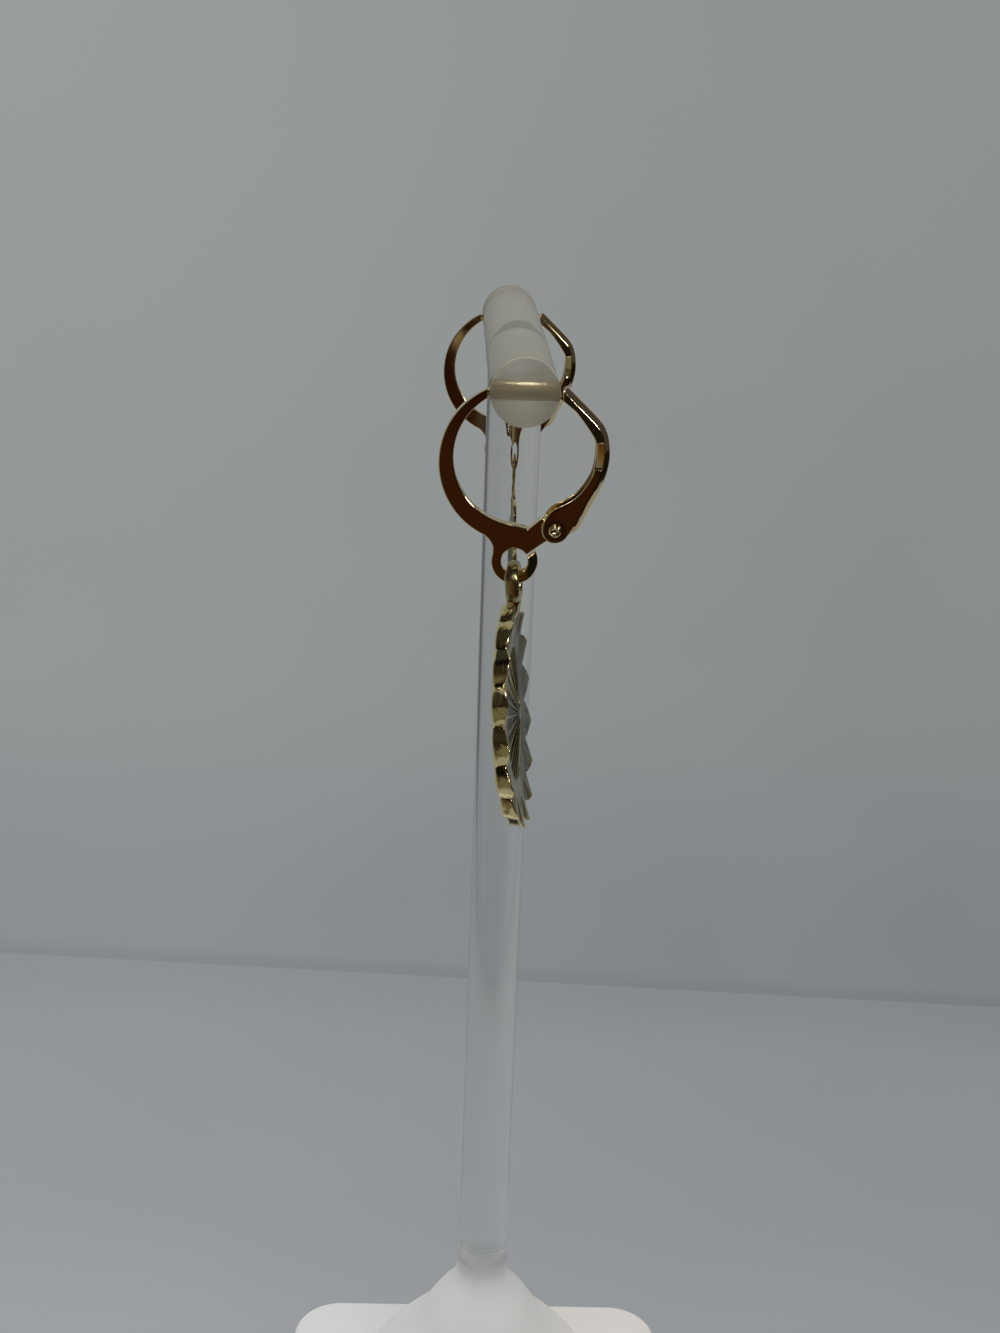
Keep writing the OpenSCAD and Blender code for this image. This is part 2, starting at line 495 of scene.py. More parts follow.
@dataclass(frozen=True)
class GoldFinish:
    """Polished gold plate with faint plating clouds, darkened by grime and painted shade in its grooves and
    by painted shade round its rivet.

    Places are in metres, and a noise's scale is its number of features in a metre.
    """

    name: str
    tone: Triple = (0.90, 0.75, 0.47)
    cloud: Triple = (0.84, 0.65, 0.35)
    cloud_scale: float = 520.0
    roughness: float = 0.06
    cloud_dull: float = 0.05
    scratched: float = 0.06
    scratch_scale: Triple = (1400.0, 9000.0, 1100.0)
    grain: float = 0.25
    grain_depth: float = 0.00002
    grain_scale: float = 5200.0
    # Near-black tone of grime and painted shade, how fully it covers, and how much duller the metal turns
    # under it.
    grime_and_shade: Triple = (0.012, 0.008, 0.005)
    grime_and_shade_cover: float = 0.97
    grime_and_shade_dull: float = 0.12
    # Painted shade round the rivet: its middle, the edge of the darkening, and its strength.
    rivet: Point = (0.0024, 0.09555)
    rivet_shade_edge: Point = (0.00095, 0.0006)
    rivet_shade: float = 0.0
    # The relief's darkening fades where the relief side is seen face-on, so its painted shade stays at
    # grazing views.
    relief_side: Point = (0.55, 0.8)
    open_view: Point = (0.8, 0.5)
    relief_lift: float = 0.0

    def grime_and_shade_share(self, graph: Graph, place: bpy.types.NodeSocket,
                   normal: bpy.types.NodeSocket) -> bpy.types.NodeSocket:
        """How much of the metal is darkened by grime and painted shade.

        Args:
            graph: Node tree of the material.
            place: Place on the piece, in metres.
            normal: Direction of the surface in the piece's own frame.

        Returns:
            Socket of the share, from 0 to 1.
        """
        share = graph.node("ShaderNodeAttribute", attribute_name="dark_marks").outputs["Fac"]
        # Painted shade on the lever's cheek round the rivet.
        if self.rivet_shade:
            x, _, z = graph.parts(place)
            rivet_shade_mask = graph.span(graph.away(x, z, self.rivet), *self.rivet_shade_edge, 0.0, self.rivet_shade)
            share = graph.math("MAXIMUM", share, rivet_shade_mask)
        # Painted shade in the relief: kept at grazing views, lifted where the relief side is seen face-on.
        if self.relief_lift:
            relief = graph.span(graph.parts(normal)[Axis.X], *self.relief_side)
            facing = graph.node("ShaderNodeLayerWeight").outputs["Facing"]
            lift = graph.span(facing, *self.open_view, 0.0, self.relief_lift)
            share = graph.math("SUBTRACT", share, graph.math("MULTIPLY", relief, lift))
            share = graph.math("MAXIMUM", share, 0.0)
        return share

    def make(self) -> bpy.types.Material:
        """Builds the material.

        Returns:
            The new material.
        """
        material, graph, output = new_material(self.name)
        spots = graph.node("ShaderNodeTexCoord").outputs
        place = spots["Object"]
        grime_and_shade = self.grime_and_shade_share(graph, place, spots["Normal"])
        clouds = graph.noise(place, self.cloud_scale, 4.0)
        tint = graph.blend(graph.span(clouds, 0.35, 0.7), rgb(*self.tone), rgb(*self.cloud))
        # Grime and painted shade turn the metal near-black where it is marked.
        tint = graph.blend(graph.math("MULTIPLY", grime_and_shade, self.grime_and_shade_cover), tint, rgb(*self.grime_and_shade))
        drawn_out = graph.node("ShaderNodeMapping", in_Vector=place, in_Scale=self.scratch_scale).outputs[0]
        scratches = graph.noise(drawn_out, 1.0, 4.0)
        rough = graph.span(clouds, 0.3, 0.75, self.roughness, self.roughness + self.cloud_dull)
        rough = graph.math("ADD", rough, graph.span(scratches, 0.5, 0.9, 0.0, self.scratched))
        rough = graph.math("ADD", rough, graph.math("MULTIPLY", grime_and_shade, self.grime_and_shade_dull))
        bump = graph.node("ShaderNodeBump", in_Strength=self.grain, in_Distance=self.grain_depth,
                          in_Height=graph.noise(place, self.grain_scale, 5.0))
        shader = graph.node("ShaderNodeBsdfPrincipled", in_Base_Color=tint, in_Metallic=1.0,
                            in_Roughness=rough, in_Normal=bump.outputs[0])
        graph.feed(output.inputs[0], shader.outputs[0])
        return material


class Zone(Enum):
    """Regions of the stand that differ in finish."""

    SIDE = "side of the bar"
    END = "sawn end of the bar"
    FOOT = "foot and flared base"
    POST = "lower post"
    HOLE = "wall of a cross hole"


@dataclass(frozen=True)
class AcrylicFinish:
    """Clear acrylic, slightly milky in the bar, frosted at its sawn ends and bright in the foot, with
    painted light cool on the foot's left and warm on its right, and a painted reflection of the gold ear
    wires on the walls of the cross holes.

    Places are in metres, and a noise's scale is its number of features in a metre.
    """

    name: str
    tone: Triple = (0.985, 0.985, 0.98)
    # Painted reflection of the gold ear wire: tint of the acrylic at the hole walls.
    hole_wire_tone: Triple = (0.56, 0.45, 0.25)
    index: float = 1.49
    smears: float = 0.03
    smear_scale: float = 160.0
    frost: float = 0.35
    frost_depth: float = 0.00003
    frost_scale: float = 2600.0
    bar_low: Point = (0.1022, 0.1028)
    bar_end: Point = (0.02074, 0.02078)
    flare: Point = (0.0250, 0.0221)
    lower_post: Point = (0.075, 0.045)
    hole: Point = (0.01935, 0.105)
    hole_edge: Point = (0.00074, 0.00070)
    dull: tuple[tuple[Zone, float], ...] = (
        (Zone.SIDE, 0.22), (Zone.END, 0.07), (Zone.FOOT, 0.2), (Zone.POST, 0.15), (Zone.HOLE, 0.1))
    milky: tuple[tuple[Zone, float], ...] = ((Zone.SIDE, 0.33), (Zone.END, 0.34), (Zone.FOOT, 0.68))
    side_milk: Triple = (0.40, 0.38, 0.31)
    end_milk: Triple = (0.80, 0.76, 0.63)
    # Painted light on the foot: cool on its left, warm on its right, changing across this span.
    foot_cool_light: Triple = (0.78, 0.80, 0.80)
    foot_warm_light: Triple = (0.82, 0.775, 0.755)
    foot_light_across: Point = (-0.002, 0.012)
    lifted: Point = (0.036, 0.026)
    lift: float = 1.3
    # Painted reflection of the gold ear wire on the walls of the cross holes.
    painted_wire_gleam: Triple = (0.29, 0.22, 0.085)
    painted_wire_gleam_rough: float = 0.45
    painted_wire_gleam_share: float = 0.75

    def zones(self, graph: Graph, y: bpy.types.NodeSocket,
              z: bpy.types.NodeSocket) -> dict[Zone, bpy.types.NodeSocket]:
        """Finds the stand's regions.

        Args:
            graph: Node tree of the material.
            y: Place along the bar, in metres.
            z: Height, in metres.

        Returns:
            For each region, the socket of its share from 0 to 1.
        """
        along = graph.math("ABSOLUTE", y)
        end = graph.span(along, *self.bar_end)
        side = graph.math("MULTIPLY", graph.span(z, *self.bar_low), graph.math("SUBTRACT", 1.0, end))
        hole = graph.span(graph.away(along, z, self.hole), *self.hole_edge)
        return {Zone.SIDE: side, Zone.END: end, Zone.HOLE: hole,
                Zone.FOOT: graph.span(z, *self.flare), Zone.POST: graph.span(z, *self.lower_post)}

    @staticmethod
    def total(graph: Graph, zones: dict[Zone, bpy.types.NodeSocket],
              amounts: tuple[tuple[Zone, float], ...]) -> bpy.types.NodeSocket:
        """Adds up an amount over the regions.

        Args:
            graph: Node tree of the material.
            zones: Each region's share.
            amounts: Regions and how much each adds.

        Returns:
            Socket of the sum.
        """
        total = 0.0
        for zone, amount in amounts:
            total = graph.math("ADD", total, graph.math("MULTIPLY", zones[zone], amount))
        return total

    def milk(self, graph: Graph, x: bpy.types.NodeSocket, z: bpy.types.NodeSocket,
             zones: dict[Zone, bpy.types.NodeSocket]) -> bpy.types.NodeSocket:
        """Builds the milky part, which throws light back and lets some through, with painted light cool on
        the foot's left and warm on its right.

        Args:
            graph: Node tree of the material.
            x: Place across the bar, in metres.
            z: Height, in metres.
            zones: Each region's share.

        Returns:
            Socket of the shader.
        """
        foot = zones[Zone.FOOT]
        # Painted light: the foot's milk is cool on its left and warm on its right.
        across = graph.span(x, *self.foot_light_across)
        foot_milk_and_light = graph.blend(across, rgb(*self.foot_cool_light), rgb(*self.foot_warm_light))
        tone = graph.blend(zones[Zone.END], rgb(*self.side_milk), rgb(*self.end_milk))
        tone = graph.blend(foot, tone, foot_milk_and_light)
        geometry = graph.node("ShaderNodeNewGeometry").outputs
        up = graph.node("ShaderNodeCombineXYZ", in_2=graph.span(z, *self.lifted, 0.0, self.lift)).outputs[0]
        tilted = graph.node("ShaderNodeVectorMath", operation="ADD", in_0=geometry["Normal"], in_1=up)
        even = graph.node("ShaderNodeVectorMath", operation="NORMALIZE", in_0=tilted.outputs[0])
        passed = graph.node("ShaderNodeBsdfTranslucent", in_Color=tone).outputs[0]
        thrown = graph.node("ShaderNodeBsdfDiffuse", in_Color=tone, in_Normal=even.outputs[0]).outputs[0]
        inside = graph.math("MULTIPLY", geometry["Backfacing"], graph.span(foot, 0.0, 0.1))
        share = graph.math("ADD", 0.5, graph.span(foot, 0.0, 0.2, 0.0, 0.4))
        share = graph.math("MULTIPLY", share, graph.math("SUBTRACT", 1.0, inside))
        return graph.mixed(share, passed, thrown)

    def make(self) -> bpy.types.Material:
        """Builds the material.

        Returns:
            The new material.
        """
        material, graph, output = new_material(self.name)
        place = graph.node("ShaderNodeTexCoord").outputs["Object"]
        x, y, z = graph.parts(place)
        zones = self.zones(graph, y, z)
        smears = graph.span(graph.noise(place, self.smear_scale, 5.0), 0.55, 0.85, 0.0, self.smears)
        rough = graph.math("ADD", smears, self.total(graph, zones, self.dull))
        bump = graph.node("ShaderNodeBump", in_Strength=graph.math("MULTIPLY", zones[Zone.END], self.frost),
                          in_Distance=self.frost_depth, in_Height=graph.noise(place, self.frost_scale, 4.0))
        # Painted reflection of the gold ear wire tints the hole walls.
        tone = graph.blend(zones[Zone.HOLE], rgb(*self.tone), rgb(*self.hole_wire_tone))
        clear = graph.node("ShaderNodeBsdfPrincipled", in_Base_Color=tone, in_IOR=self.index,
                           in_Roughness=rough, in_Normal=bump.outputs[0], in_Transmission_Weight=1.0)
        whole = graph.mixed(self.total(graph, zones, self.milky), clear.outputs[0],
                            self.milk(graph, x, z, zones))
        # Painted reflection of the gold ear wire: a gold gleam on the hole walls.
        painted_wire_gleam = graph.node("ShaderNodeBsdfAnisotropic", in_Color=rgb(*self.painted_wire_gleam),
                          in_Roughness=self.painted_wire_gleam_rough)
        painted_wire_gleam_share = graph.math("MULTIPLY", zones[Zone.HOLE], self.painted_wire_gleam_share)
        graph.feed(output.inputs[0], graph.mixed(painted_wire_gleam_share, whole, painted_wire_gleam.outputs[0]))
        return material


@dataclass(frozen=True)
class PaperFinish:
    """Grey paper that glows with soft painted light, which fades across it and along it, with painted shade
    at the fold; lit paper also takes lamp light.

    Places are in metres, and tones are screen colours from 0 to 255.
    """

    name: str
    along: Axis
    span: Triple
    near_left: Tone
    near_right: Tone
    far_left: Tone
    far_right: Tone
    across: Point = (-0.062, 0.072)
    first_share: float = 0.62
    # Painted shade along the fold between floor and wall: where it lies, how far it reaches, its slant and
    # its depth.
    fold: float = 0.0
    fold_reach: float = 0.0035
    fold_slope: float = 0.0
    fold_shade: float = 0.10
    past: Tone = (60, 58, 56)
    past_span: Point = (0.09, 0.16)
    mottle: Tone = (165, 169, 171)
    mottle_share: float = 0.06
    mottle_scale: float = 26.0
    strength: float = 1.0
    base: Triple = (0.05, 0.051, 0.052)
    fibre: float = 0.15
    fibre_depth: float = 0.00005
    fibre_scale: float = 900.0
    lit: bool = False
    one_sided: bool = False

    def glow(self, graph: Graph, place: bpy.types.NodeSocket) -> bpy.types.NodeSocket:
        """Light that the paper gives at each place.

        Args:
            graph: Node tree of the material.
            place: Place on the paper, in metres.

        Returns:
            Socket of the colour.
        """
        axes = graph.parts(place)
        low, middle, high = self.span
        across = graph.span(axes[Axis.X], *self.across)
        first = graph.math("MULTIPLY", graph.span(axes[self.along], low, middle), self.first_share)
        later = graph.span(axes[self.along], 0.8 * middle + 0.2 * low, high)
        later = graph.math("MULTIPLY", later, 1.0 - self.first_share)
        near = graph.blend(across, seen(*self.near_left), seen(*self.near_right))
        far = graph.blend(across, seen(*self.far_left), seen(*self.far_right))
        glow = graph.blend(graph.math("ADD", first, later), near, far)
        # The painted light dims past the right side.
        glow = graph.blend(graph.span(axes[Axis.X], *self.past_span), glow, seen(*self.past))
        mottle = graph.noise(place, self.mottle_scale, 2.0)
        cloudy = graph.span(mottle, 0.3, 0.7, 0.0, self.mottle_share)
        glow = graph.blend(cloudy, glow, seen(*self.mottle))
        # Painted shade darkens the paper towards the fold.
        slanted = graph.math("ADD", axes[self.along], graph.math("MULTIPLY", axes[Axis.X], self.fold_slope))
        fold = graph.span(slanted, self.fold, self.fold + self.fold_reach, self.fold_shade, 0.0)
        return graph.blend(fold, glow, rgb(0.0, 0.0, 0.0))

    def make(self) -> bpy.types.Material:
        """Builds the material.

        Returns:
            The new material.
        """
        material, graph, output = new_material(self.name)
        place = graph.node("ShaderNodeTexCoord").outputs["Object"]
        light = graph.node("ShaderNodeEmission", in_Color=self.glow(graph, place), in_Strength=self.strength)
        if self.lit:
            bump = graph.node("ShaderNodeBump", in_Strength=self.fibre, in_Distance=self.fibre_depth,
                              in_Height=graph.noise(place, self.fibre_scale, 4.0))
            paper = graph.node("ShaderNodeBsdfDiffuse", in_Color=rgb(*self.base), in_Roughness=0.8,
                               in_Normal=bump.outputs[0])
        else:
            paper = graph.node("ShaderNodeBsdfTransparent", in_Color=rgb(0.0, 0.0, 0.0))
        whole = graph.node("ShaderNodeAddShader", in_0=light.outputs[0], in_1=paper.outputs[0]).outputs[0]
        if self.one_sided:
            behind = graph.node("ShaderNodeNewGeometry").outputs["Backfacing"]
            whole = graph.mixed(behind, whole, graph.node("ShaderNodeBsdfTransparent").outputs[0])
        graph.feed(output.inputs[0], whole)
        return material


@dataclass(frozen=True)
class Fade:
    """Smooth change to a tone along one axis of the room's directions."""

    axis: Axis
    start: float
    full: float
    tone: Triple

    def over(self, graph: Graph, axes: list[bpy.types.NodeSocket], tone: object) -> bpy.types.NodeSocket:
        """The given tone with this one faded in."""
        return graph.blend(graph.span(axes[self.axis], self.start, self.full), tone, rgb(*self.tone))


@dataclass(frozen=True)
class RoomLight:
    """Room around the stand: light above, dark and brownish in front below."""

    low: Triple = (0.20, 0.20, 0.19)
    round_about: tuple[Fade, ...] = (
        Fade(Axis.Z, 0.0, 0.3, (0.06, 0.057, 0.05)),
        Fade(Axis.Z, 0.5, 0.9, (0.018, 0.017, 0.015)),
        Fade(Axis.X, 0.2, 0.6, (0.010, 0.009, 0.007)))
    left: Triple = (0.03, 0.025, 0.02)
    left_low: tuple[Fade, ...] = (
        Fade(Axis.Z, 0.08, -0.1, (0.15, 0.148, 0.115)),
        Fade(Axis.Z, -0.55, -0.8, (0.02, 0.018, 0.012)))
    warm: Triple = (0.15, 0.08, 0.03)
    warm_span: Point = (-0.22, -0.38)
    middle: Triple = (0.0145, 0.0038, 0.0015)
    middle_low: tuple[Fade, ...] = (
        Fade(Axis.Z, -0.15, -0.21, (0.030, 0.0102, 0.004)),
        Fade(Axis.Z, -0.27, -0.34, (0.038, 0.019, 0.006)))
    side_span: Point = (-0.09, -0.24)
    front_edges: tuple[Fade, ...] = (
        Fade(Axis.X, 0.11, 0.2, (0.007, 0.006, 0.004)),
        Fade(Axis.Z, 0.0, 0.3, (0.02, 0.012, 0.008)),
        Fade(Axis.Z, 0.3, 0.6, (0.03, 0.027, 0.022)))
    front_span: Point = (-0.15, -0.5)

    def make(self) -> bpy.types.World:
        """Builds the world.

        Returns:
            The new world.
        """
        world = bpy.data.worlds.new("room")
        world.use_nodes = True
        world.node_tree.nodes.clear()
        graph = Graph(world.node_tree)
        output = graph.node("ShaderNodeOutputWorld")
        axes = graph.parts(graph.node("ShaderNodeTexCoord").outputs["Generated"])
        room, left, middle = rgb(*self.low), rgb(*self.left), rgb(*self.middle)
        for fade in self.round_about:
            room = fade.over(graph, axes, room)
        for fade in self.left_low:
            left = fade.over(graph, axes, left)
        for fade in self.middle_low:
            middle = fade.over(graph, axes, middle)
        left = graph.blend(graph.span(axes[Axis.X], *self.warm_span), rgb(*self.warm), left)
        front = graph.blend(graph.span(axes[Axis.X], *self.side_span), middle, left)
        for fade in self.front_edges:
            front = fade.over(graph, axes, front)
        room = graph.blend(graph.span(axes[Axis.Y], *self.front_span), room, front)
        background = graph.node("ShaderNodeBackground", in_Color=room, in_Strength=1.0)
        graph.feed(output.inputs[0], background.outputs[0])
        return world


# The pieces


@dataclass
class Stand:
    """Clear acrylic stand: a square foot, a post and a cross bar, glued into one."""

    finish: bpy.types.Material
    foot_w: float = 36.0
    foot_t: float = 5.0
    corner: float = 4.5
    corner_points: int = 25
    foot_edge: float = 1.0
    foot_lip: float = 0.1
    edge_faces: int = 6
    post_faces: int = 192
    bar_r: float = 2.35
    bar_l: float = 41.7
    bar_h: float = 105.0
    bar_edge: float = 0.09
    bar_lip: float = 0.03
    bar_faces: int = 256
    hole_r: float = 0.67
    hole_y: float = 19.35
    hole_reach: float = 4.0
    hole_faces: int = 96
    crease: float = 18.0
    post_profile: tuple[Point, ...] = (
        (14.4, 4.0), (14.0, 4.9), (13.4, 5.5), (12.8, 6.5), (12.2, 7.8), (11.6, 9.2), (10.9, 10.7),
        (10.0, 12.2), (8.9, 13.6), (7.8, 14.8), (6.8, 15.85), (5.9, 16.8), (5.2, 17.8), (4.65, 18.7),
        (4.15, 19.45), (3.65, 20.1), (3.15, 20.65), (2.72, 21.2), (2.42, 21.8), (2.24, 22.5), (2.15, 23.3),
        (2.125, 24.2), (2.125, 30.0), (2.125, 60.0), (2.125, 95.0), (2.125, 105.0))

    def foot(self) -> bpy.types.Object:
        """Makes the foot plate with rounded corners and eased edges.

        Returns:
            The plate's object.
        """
        half = self.foot_w / 2 - self.corner
        outline = []
        for k, middle in enumerate(((half, half), (-half, half), (-half, -half), (half, -half))):
            outline += arc(middle, self.corner, 90.0 * k, 90.0 * (k + 1), self.corner_points)
        loop = np.array(outline)
        normals = inward(loop)
        rows = [(self.foot_edge + self.foot_lip, 0.0)] + edge_steps(self.foot_edge, self.edge_faces)
        rows += [(inset, self.foot_t - depth) for inset, depth in reversed(rows)]
        shell = Shell()
        shell.closed_tube([np.column_stack([loop + normals * inset, np.full(len(loop), z)])
                           for inset, z in rows])
        return shell.build("foot_blank", Matrix.Identity(4))

    def post(self) -> bpy.types.Object:
        """Makes the post, which spreads into the foot like a trumpet.

        Returns:
            The post's object.
        """
        turns = around(self.post_faces)
        shell = Shell()
        shell.closed_tube([np.column_stack([r * np.cos(turns), r * np.sin(turns), np.full(len(turns), z)])
                           for r, z in self.post_profile])
        return shell.build("post_blank", Matrix.Identity(4))

    @staticmethod
    def rod(profile: list[Point], axis: Axis, place: Vector, faces: int) -> bpy.types.Object:
        """Makes a round rod along one axis.

        Args:
            profile: Radius and place along the rod, from its low end to its high end.
            axis: Axis that the rod lies along.
            place: Shift of the rod.
            faces: Number of faces round the rod.

        Returns:
            The rod's object.
        """
        turns = around(faces)
        rows = []
        for r, along in profile:
            ring = np.zeros((faces, 3))
            ring[:, (axis + 1) % 3] = r * np.cos(turns)
            ring[:, (axis + 2) % 3] = r * np.sin(turns)
            ring[:, axis] = along
            rows.append(ring)
        shell = Shell()
        shell.closed_tube(rows)
        return shell.build("rod_blank", Matrix.Translation(place))

    def bar(self, place: Vector) -> bpy.types.Object:
        """Makes the cross bar with its eased ends.

        Args:
            place: Middle of the bar.

        Returns:
            The bar's object.
        """
        half = self.bar_l / 2
        steps = [(self.bar_edge + self.bar_lip, 0.0)] + edge_steps(self.bar_edge, self.edge_faces)
        profile = [(self.bar_r - inset, depth - half) for inset, depth in steps]
        profile += [(self.bar_r - inset, half - depth) for inset, depth in reversed(steps)]
        return self.rod(profile, Axis.Y, place, self.bar_faces)

    def build(self) -> bpy.types.Object:
        """Joins the foot, post and bar, and drills the bar.

        Returns:
            The stand's object.
        """
        up = Vector((0.0, 0.0, self.bar_h))
        whole = self.bar(up)
        whole.name = "t_bar_stand"
        whole.data.name = "t_bar_stand"
        combine(whole, self.post(), Joining.ADD)
        combine(whole, self.foot(), Joining.ADD)
        drill = [(self.hole_r, -self.hole_reach), (self.hole_r, self.hole_reach)]
        for y in (-self.hole_y, self.hole_y):
            hole = self.rod(drill, Axis.X, up + Vector((0.0, y, 0.0)), self.hole_faces)
            combine(whole, hole, Joining.CUT)
        mesh = whole.data
        mesh.polygons.foreach_set("use_smooth", [True] * len(mesh.polygons))
        mesh.set_sharp_from_angle(angle=math.radians(self.crease))
        mesh.materials.clear()
        mesh.materials.append(self.finish)
        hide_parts("foot", "post", "bar")
        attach(whole, "stand")
        return whole


def combine(whole: bpy.types.Object, other: bpy.types.Object, how: Joining) -> None:
    """Adds or cuts another closed object, which is then removed.

    Args:
        whole: Object that changes.
        other: Object that is added or cut away.
        how: Whether the other is added or cut away.
    """
    step = whole.modifiers.new("combine", "BOOLEAN")
    step.operation = how.value
    step.solver = "EXACT"
    step.object = other
    bpy.context.view_layer.update()
    result = whole.evaluated_get(bpy.context.evaluated_depsgraph_get())
    mesh = bpy.data.meshes.new_from_object(result)
    whole.modifiers.clear()
    old = whole.data
    whole.data = mesh
    name = old.name
    bpy.data.meshes.remove(old)
    mesh.name = name
    bpy.data.meshes.remove(other.data)


@dataclass
class Hoop:
    """Flat C plate with its ear wire, neck, bottom ring and arm, all one metal."""

    thickness: float = 1.0
    edge: float = 0.07
    edge_lip: float = 0.04
    plate_c: Point = (-0.12, -4.95)
    plate_r: float = 5.5
    plate_span: Point = (114.8, 246.5)
    inner_c: Point = (0.05, -4.55)
    inner_r: float = 4.67
    inner_span: Point = (264.5, 122.1)
    neck: tuple[Point, ...] = ((-1.98, -10.36), (-1.79, -10.72))
    ring_c: Point = (-0.26, -11.74)
    ring_r: float = 1.6
    ring_start: float = 161.0
    hole_r: float = 0.92
    hole_end: float = -327.0
    arm: tuple[Point, ...] = ((0.6, -11.19), (1.2, -10.75), (1.78, -10.33))
    slit: float = 0.17
    slit_slope: float = 35.9
    slit_mouth: Point = (0.55, -11.22)
    free_span: Point = (-80.0, 10.0)
    free_end: float = 31.5
    free_thinner: float = 0.12
    spring: float = 0.16
    twist: float = 0.45
    pivot: Point = (2.4, -9.45)
    eye_r: float = 0.95
    eye_span: Point = (238.0, 485.0)
    bottom: tuple[Point, ...] = ((1.44, -8.72), (0.62, -9.45), (0.3, -9.36))
    wire_r: float = 0.31
    wire_span: Point = (58.0, 128.0)
    wire_flat: Point = (109.0, 118.0)
    flat_wider: float = 0.15
    flat_thinner: float = 0.02
    wire_faces: int = 40
    soft: float = 0.05
    normal_soft: float = 0.08
    step: float = 0.045
    grid: float = 0.25

    def slit_meets(self, radius: float) -> float:
        """Where the slit's lower side meets a circle round the ring's middle.

        Args:
            radius: Radius of the circle.

        Returns:
            Angle of that point in degrees.
        """
        slope = math.radians(self.slit_slope)
        along = np.array([math.cos(slope), math.sin(slope)])
        below = np.array(self.slit_mouth) + self.slit * np.array([along[1], -along[0]])
        reach = below - np.array(self.ring_c)
        lean = float(reach @ along)
        spot = reach + along * (-lean + math.sqrt(lean * lean - float(reach @ reach) + radius ** 2))
        return math.degrees(math.atan2(spot[1], spot[0]))

    def outline(self) -> np.ndarray:
        """Draws the plate, neck, ring, arm and eye.

        Returns:
            Points of the closed outline, counter-clockwise.
        """
        line = arc(self.plate_c, self.plate_r, *self.plate_span, 120)
        line += self.neck
        line += arc(self.ring_c, self.ring_r, self.ring_start, 360.0 + self.slit_meets(self.ring_r), 90)
        line += arc(self.ring_c, self.hole_r, self.slit_meets(self.hole_r), self.hole_end, 90)
        line += self.arm
        line += arc(self.pivot, self.eye_r, *self.eye_span, 50)
        line += self.bottom
        line += arc(self.inner_c, self.inner_r, *self.inner_span, 110)
        return softened(evened(line, self.step, True), self.soft, self.step)

    def sprung(self, loop: np.ndarray, depth: float) -> np.ndarray:
        """Moves the ring's free arm a little to the front, as the pinched ring shows.

        Args:
            loop: Outline in the hoop's plane.
            depth: Place of the row across the plate.

        Returns:
            The row's points.
        """
        x, z = loop[:, 0] - self.ring_c[0], loop[:, 1] - self.ring_c[1]
        turn, out = np.degrees(np.arctan2(z, x)), np.hypot(x, z)
        free = ramp(*self.free_span, turn) * (turn < self.free_end) * (out < self.ring_r + 0.1)
        lean = self.twist * (out - 0.5 * (self.ring_r + self.hole_r))
        return raised(loop, depth * (1.0 - self.free_thinner * free) + (lean - self.spring) * free)

    def wire(self) -> list[np.ndarray]:
        """Draws the ear wire, from inside the plate to its round tip.

        Returns:
            Rows of points round the wire.
        """
        turns = around(self.wire_faces)
        centre_r = self.plate_r - self.wire_r
        tip, root = self.wire_span
        stations = [(angle, 1.0) for angle in np.linspace(root, tip, 72)]
        for a in np.radians(np.linspace(10.0, 84.0, 8)):
            past = math.degrees(self.wire_r * math.sin(a) / centre_r)
            stations.append((tip - past, math.cos(a)))
        rows = []
        for angle, share in stations:
            flat = float(ramp(*self.wire_flat, angle))
            across = (self.wire_r + self.flat_wider * flat) * share
            r = centre_r + (self.wire_r - self.flat_thinner * flat) * share * np.cos(turns)
            a = math.radians(angle)
            rows.append(np.column_stack([self.plate_c[0] + r * math.cos(a), across * np.sin(turns),
                                         self.plate_c[1] + r * math.sin(a)]))
        return rows

    def build(self, side: Side, place: Matrix, finish: bpy.types.Material) -> bpy.types.Object:
        """Makes one hoop.

        Args:
            side: Which of the pair.
            place: The hoop's frame in the part.
            finish: The metal's material.

        Returns:
            The hoop's object.
        """
        loop = self.outline()
        normals = softened(inward(loop), self.normal_soft, self.step)
        half = self.thickness / 2
        steps = [(self.edge + self.edge_lip, 0.0)] + edge_steps(self.edge)
        rows = [self.sprung(loop + normals * inset, depth - half) for inset, depth in steps]
        rows += [self.sprung(loop + normals * inset, half - depth) for inset, depth in reversed(steps)]
        shell = Shell()
        shell.add(rows)
        innermost = loop + normals * steps[0][0]
        shell.skin(0, innermost, self.grid, lambda spots: self.sprung(spots, -half))
        shell.skin((len(rows) - 1) * len(loop), innermost, self.grid, lambda spots: self.sprung(spots, half))
        shell.closed_tube(self.wire())
        piece = shell.build(f"c_hoop_{side.value}", place)
        piece.data.materials.append(finish)
        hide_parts(f"hoop_{side.value}")
        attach(piece, "stand")
        return piece


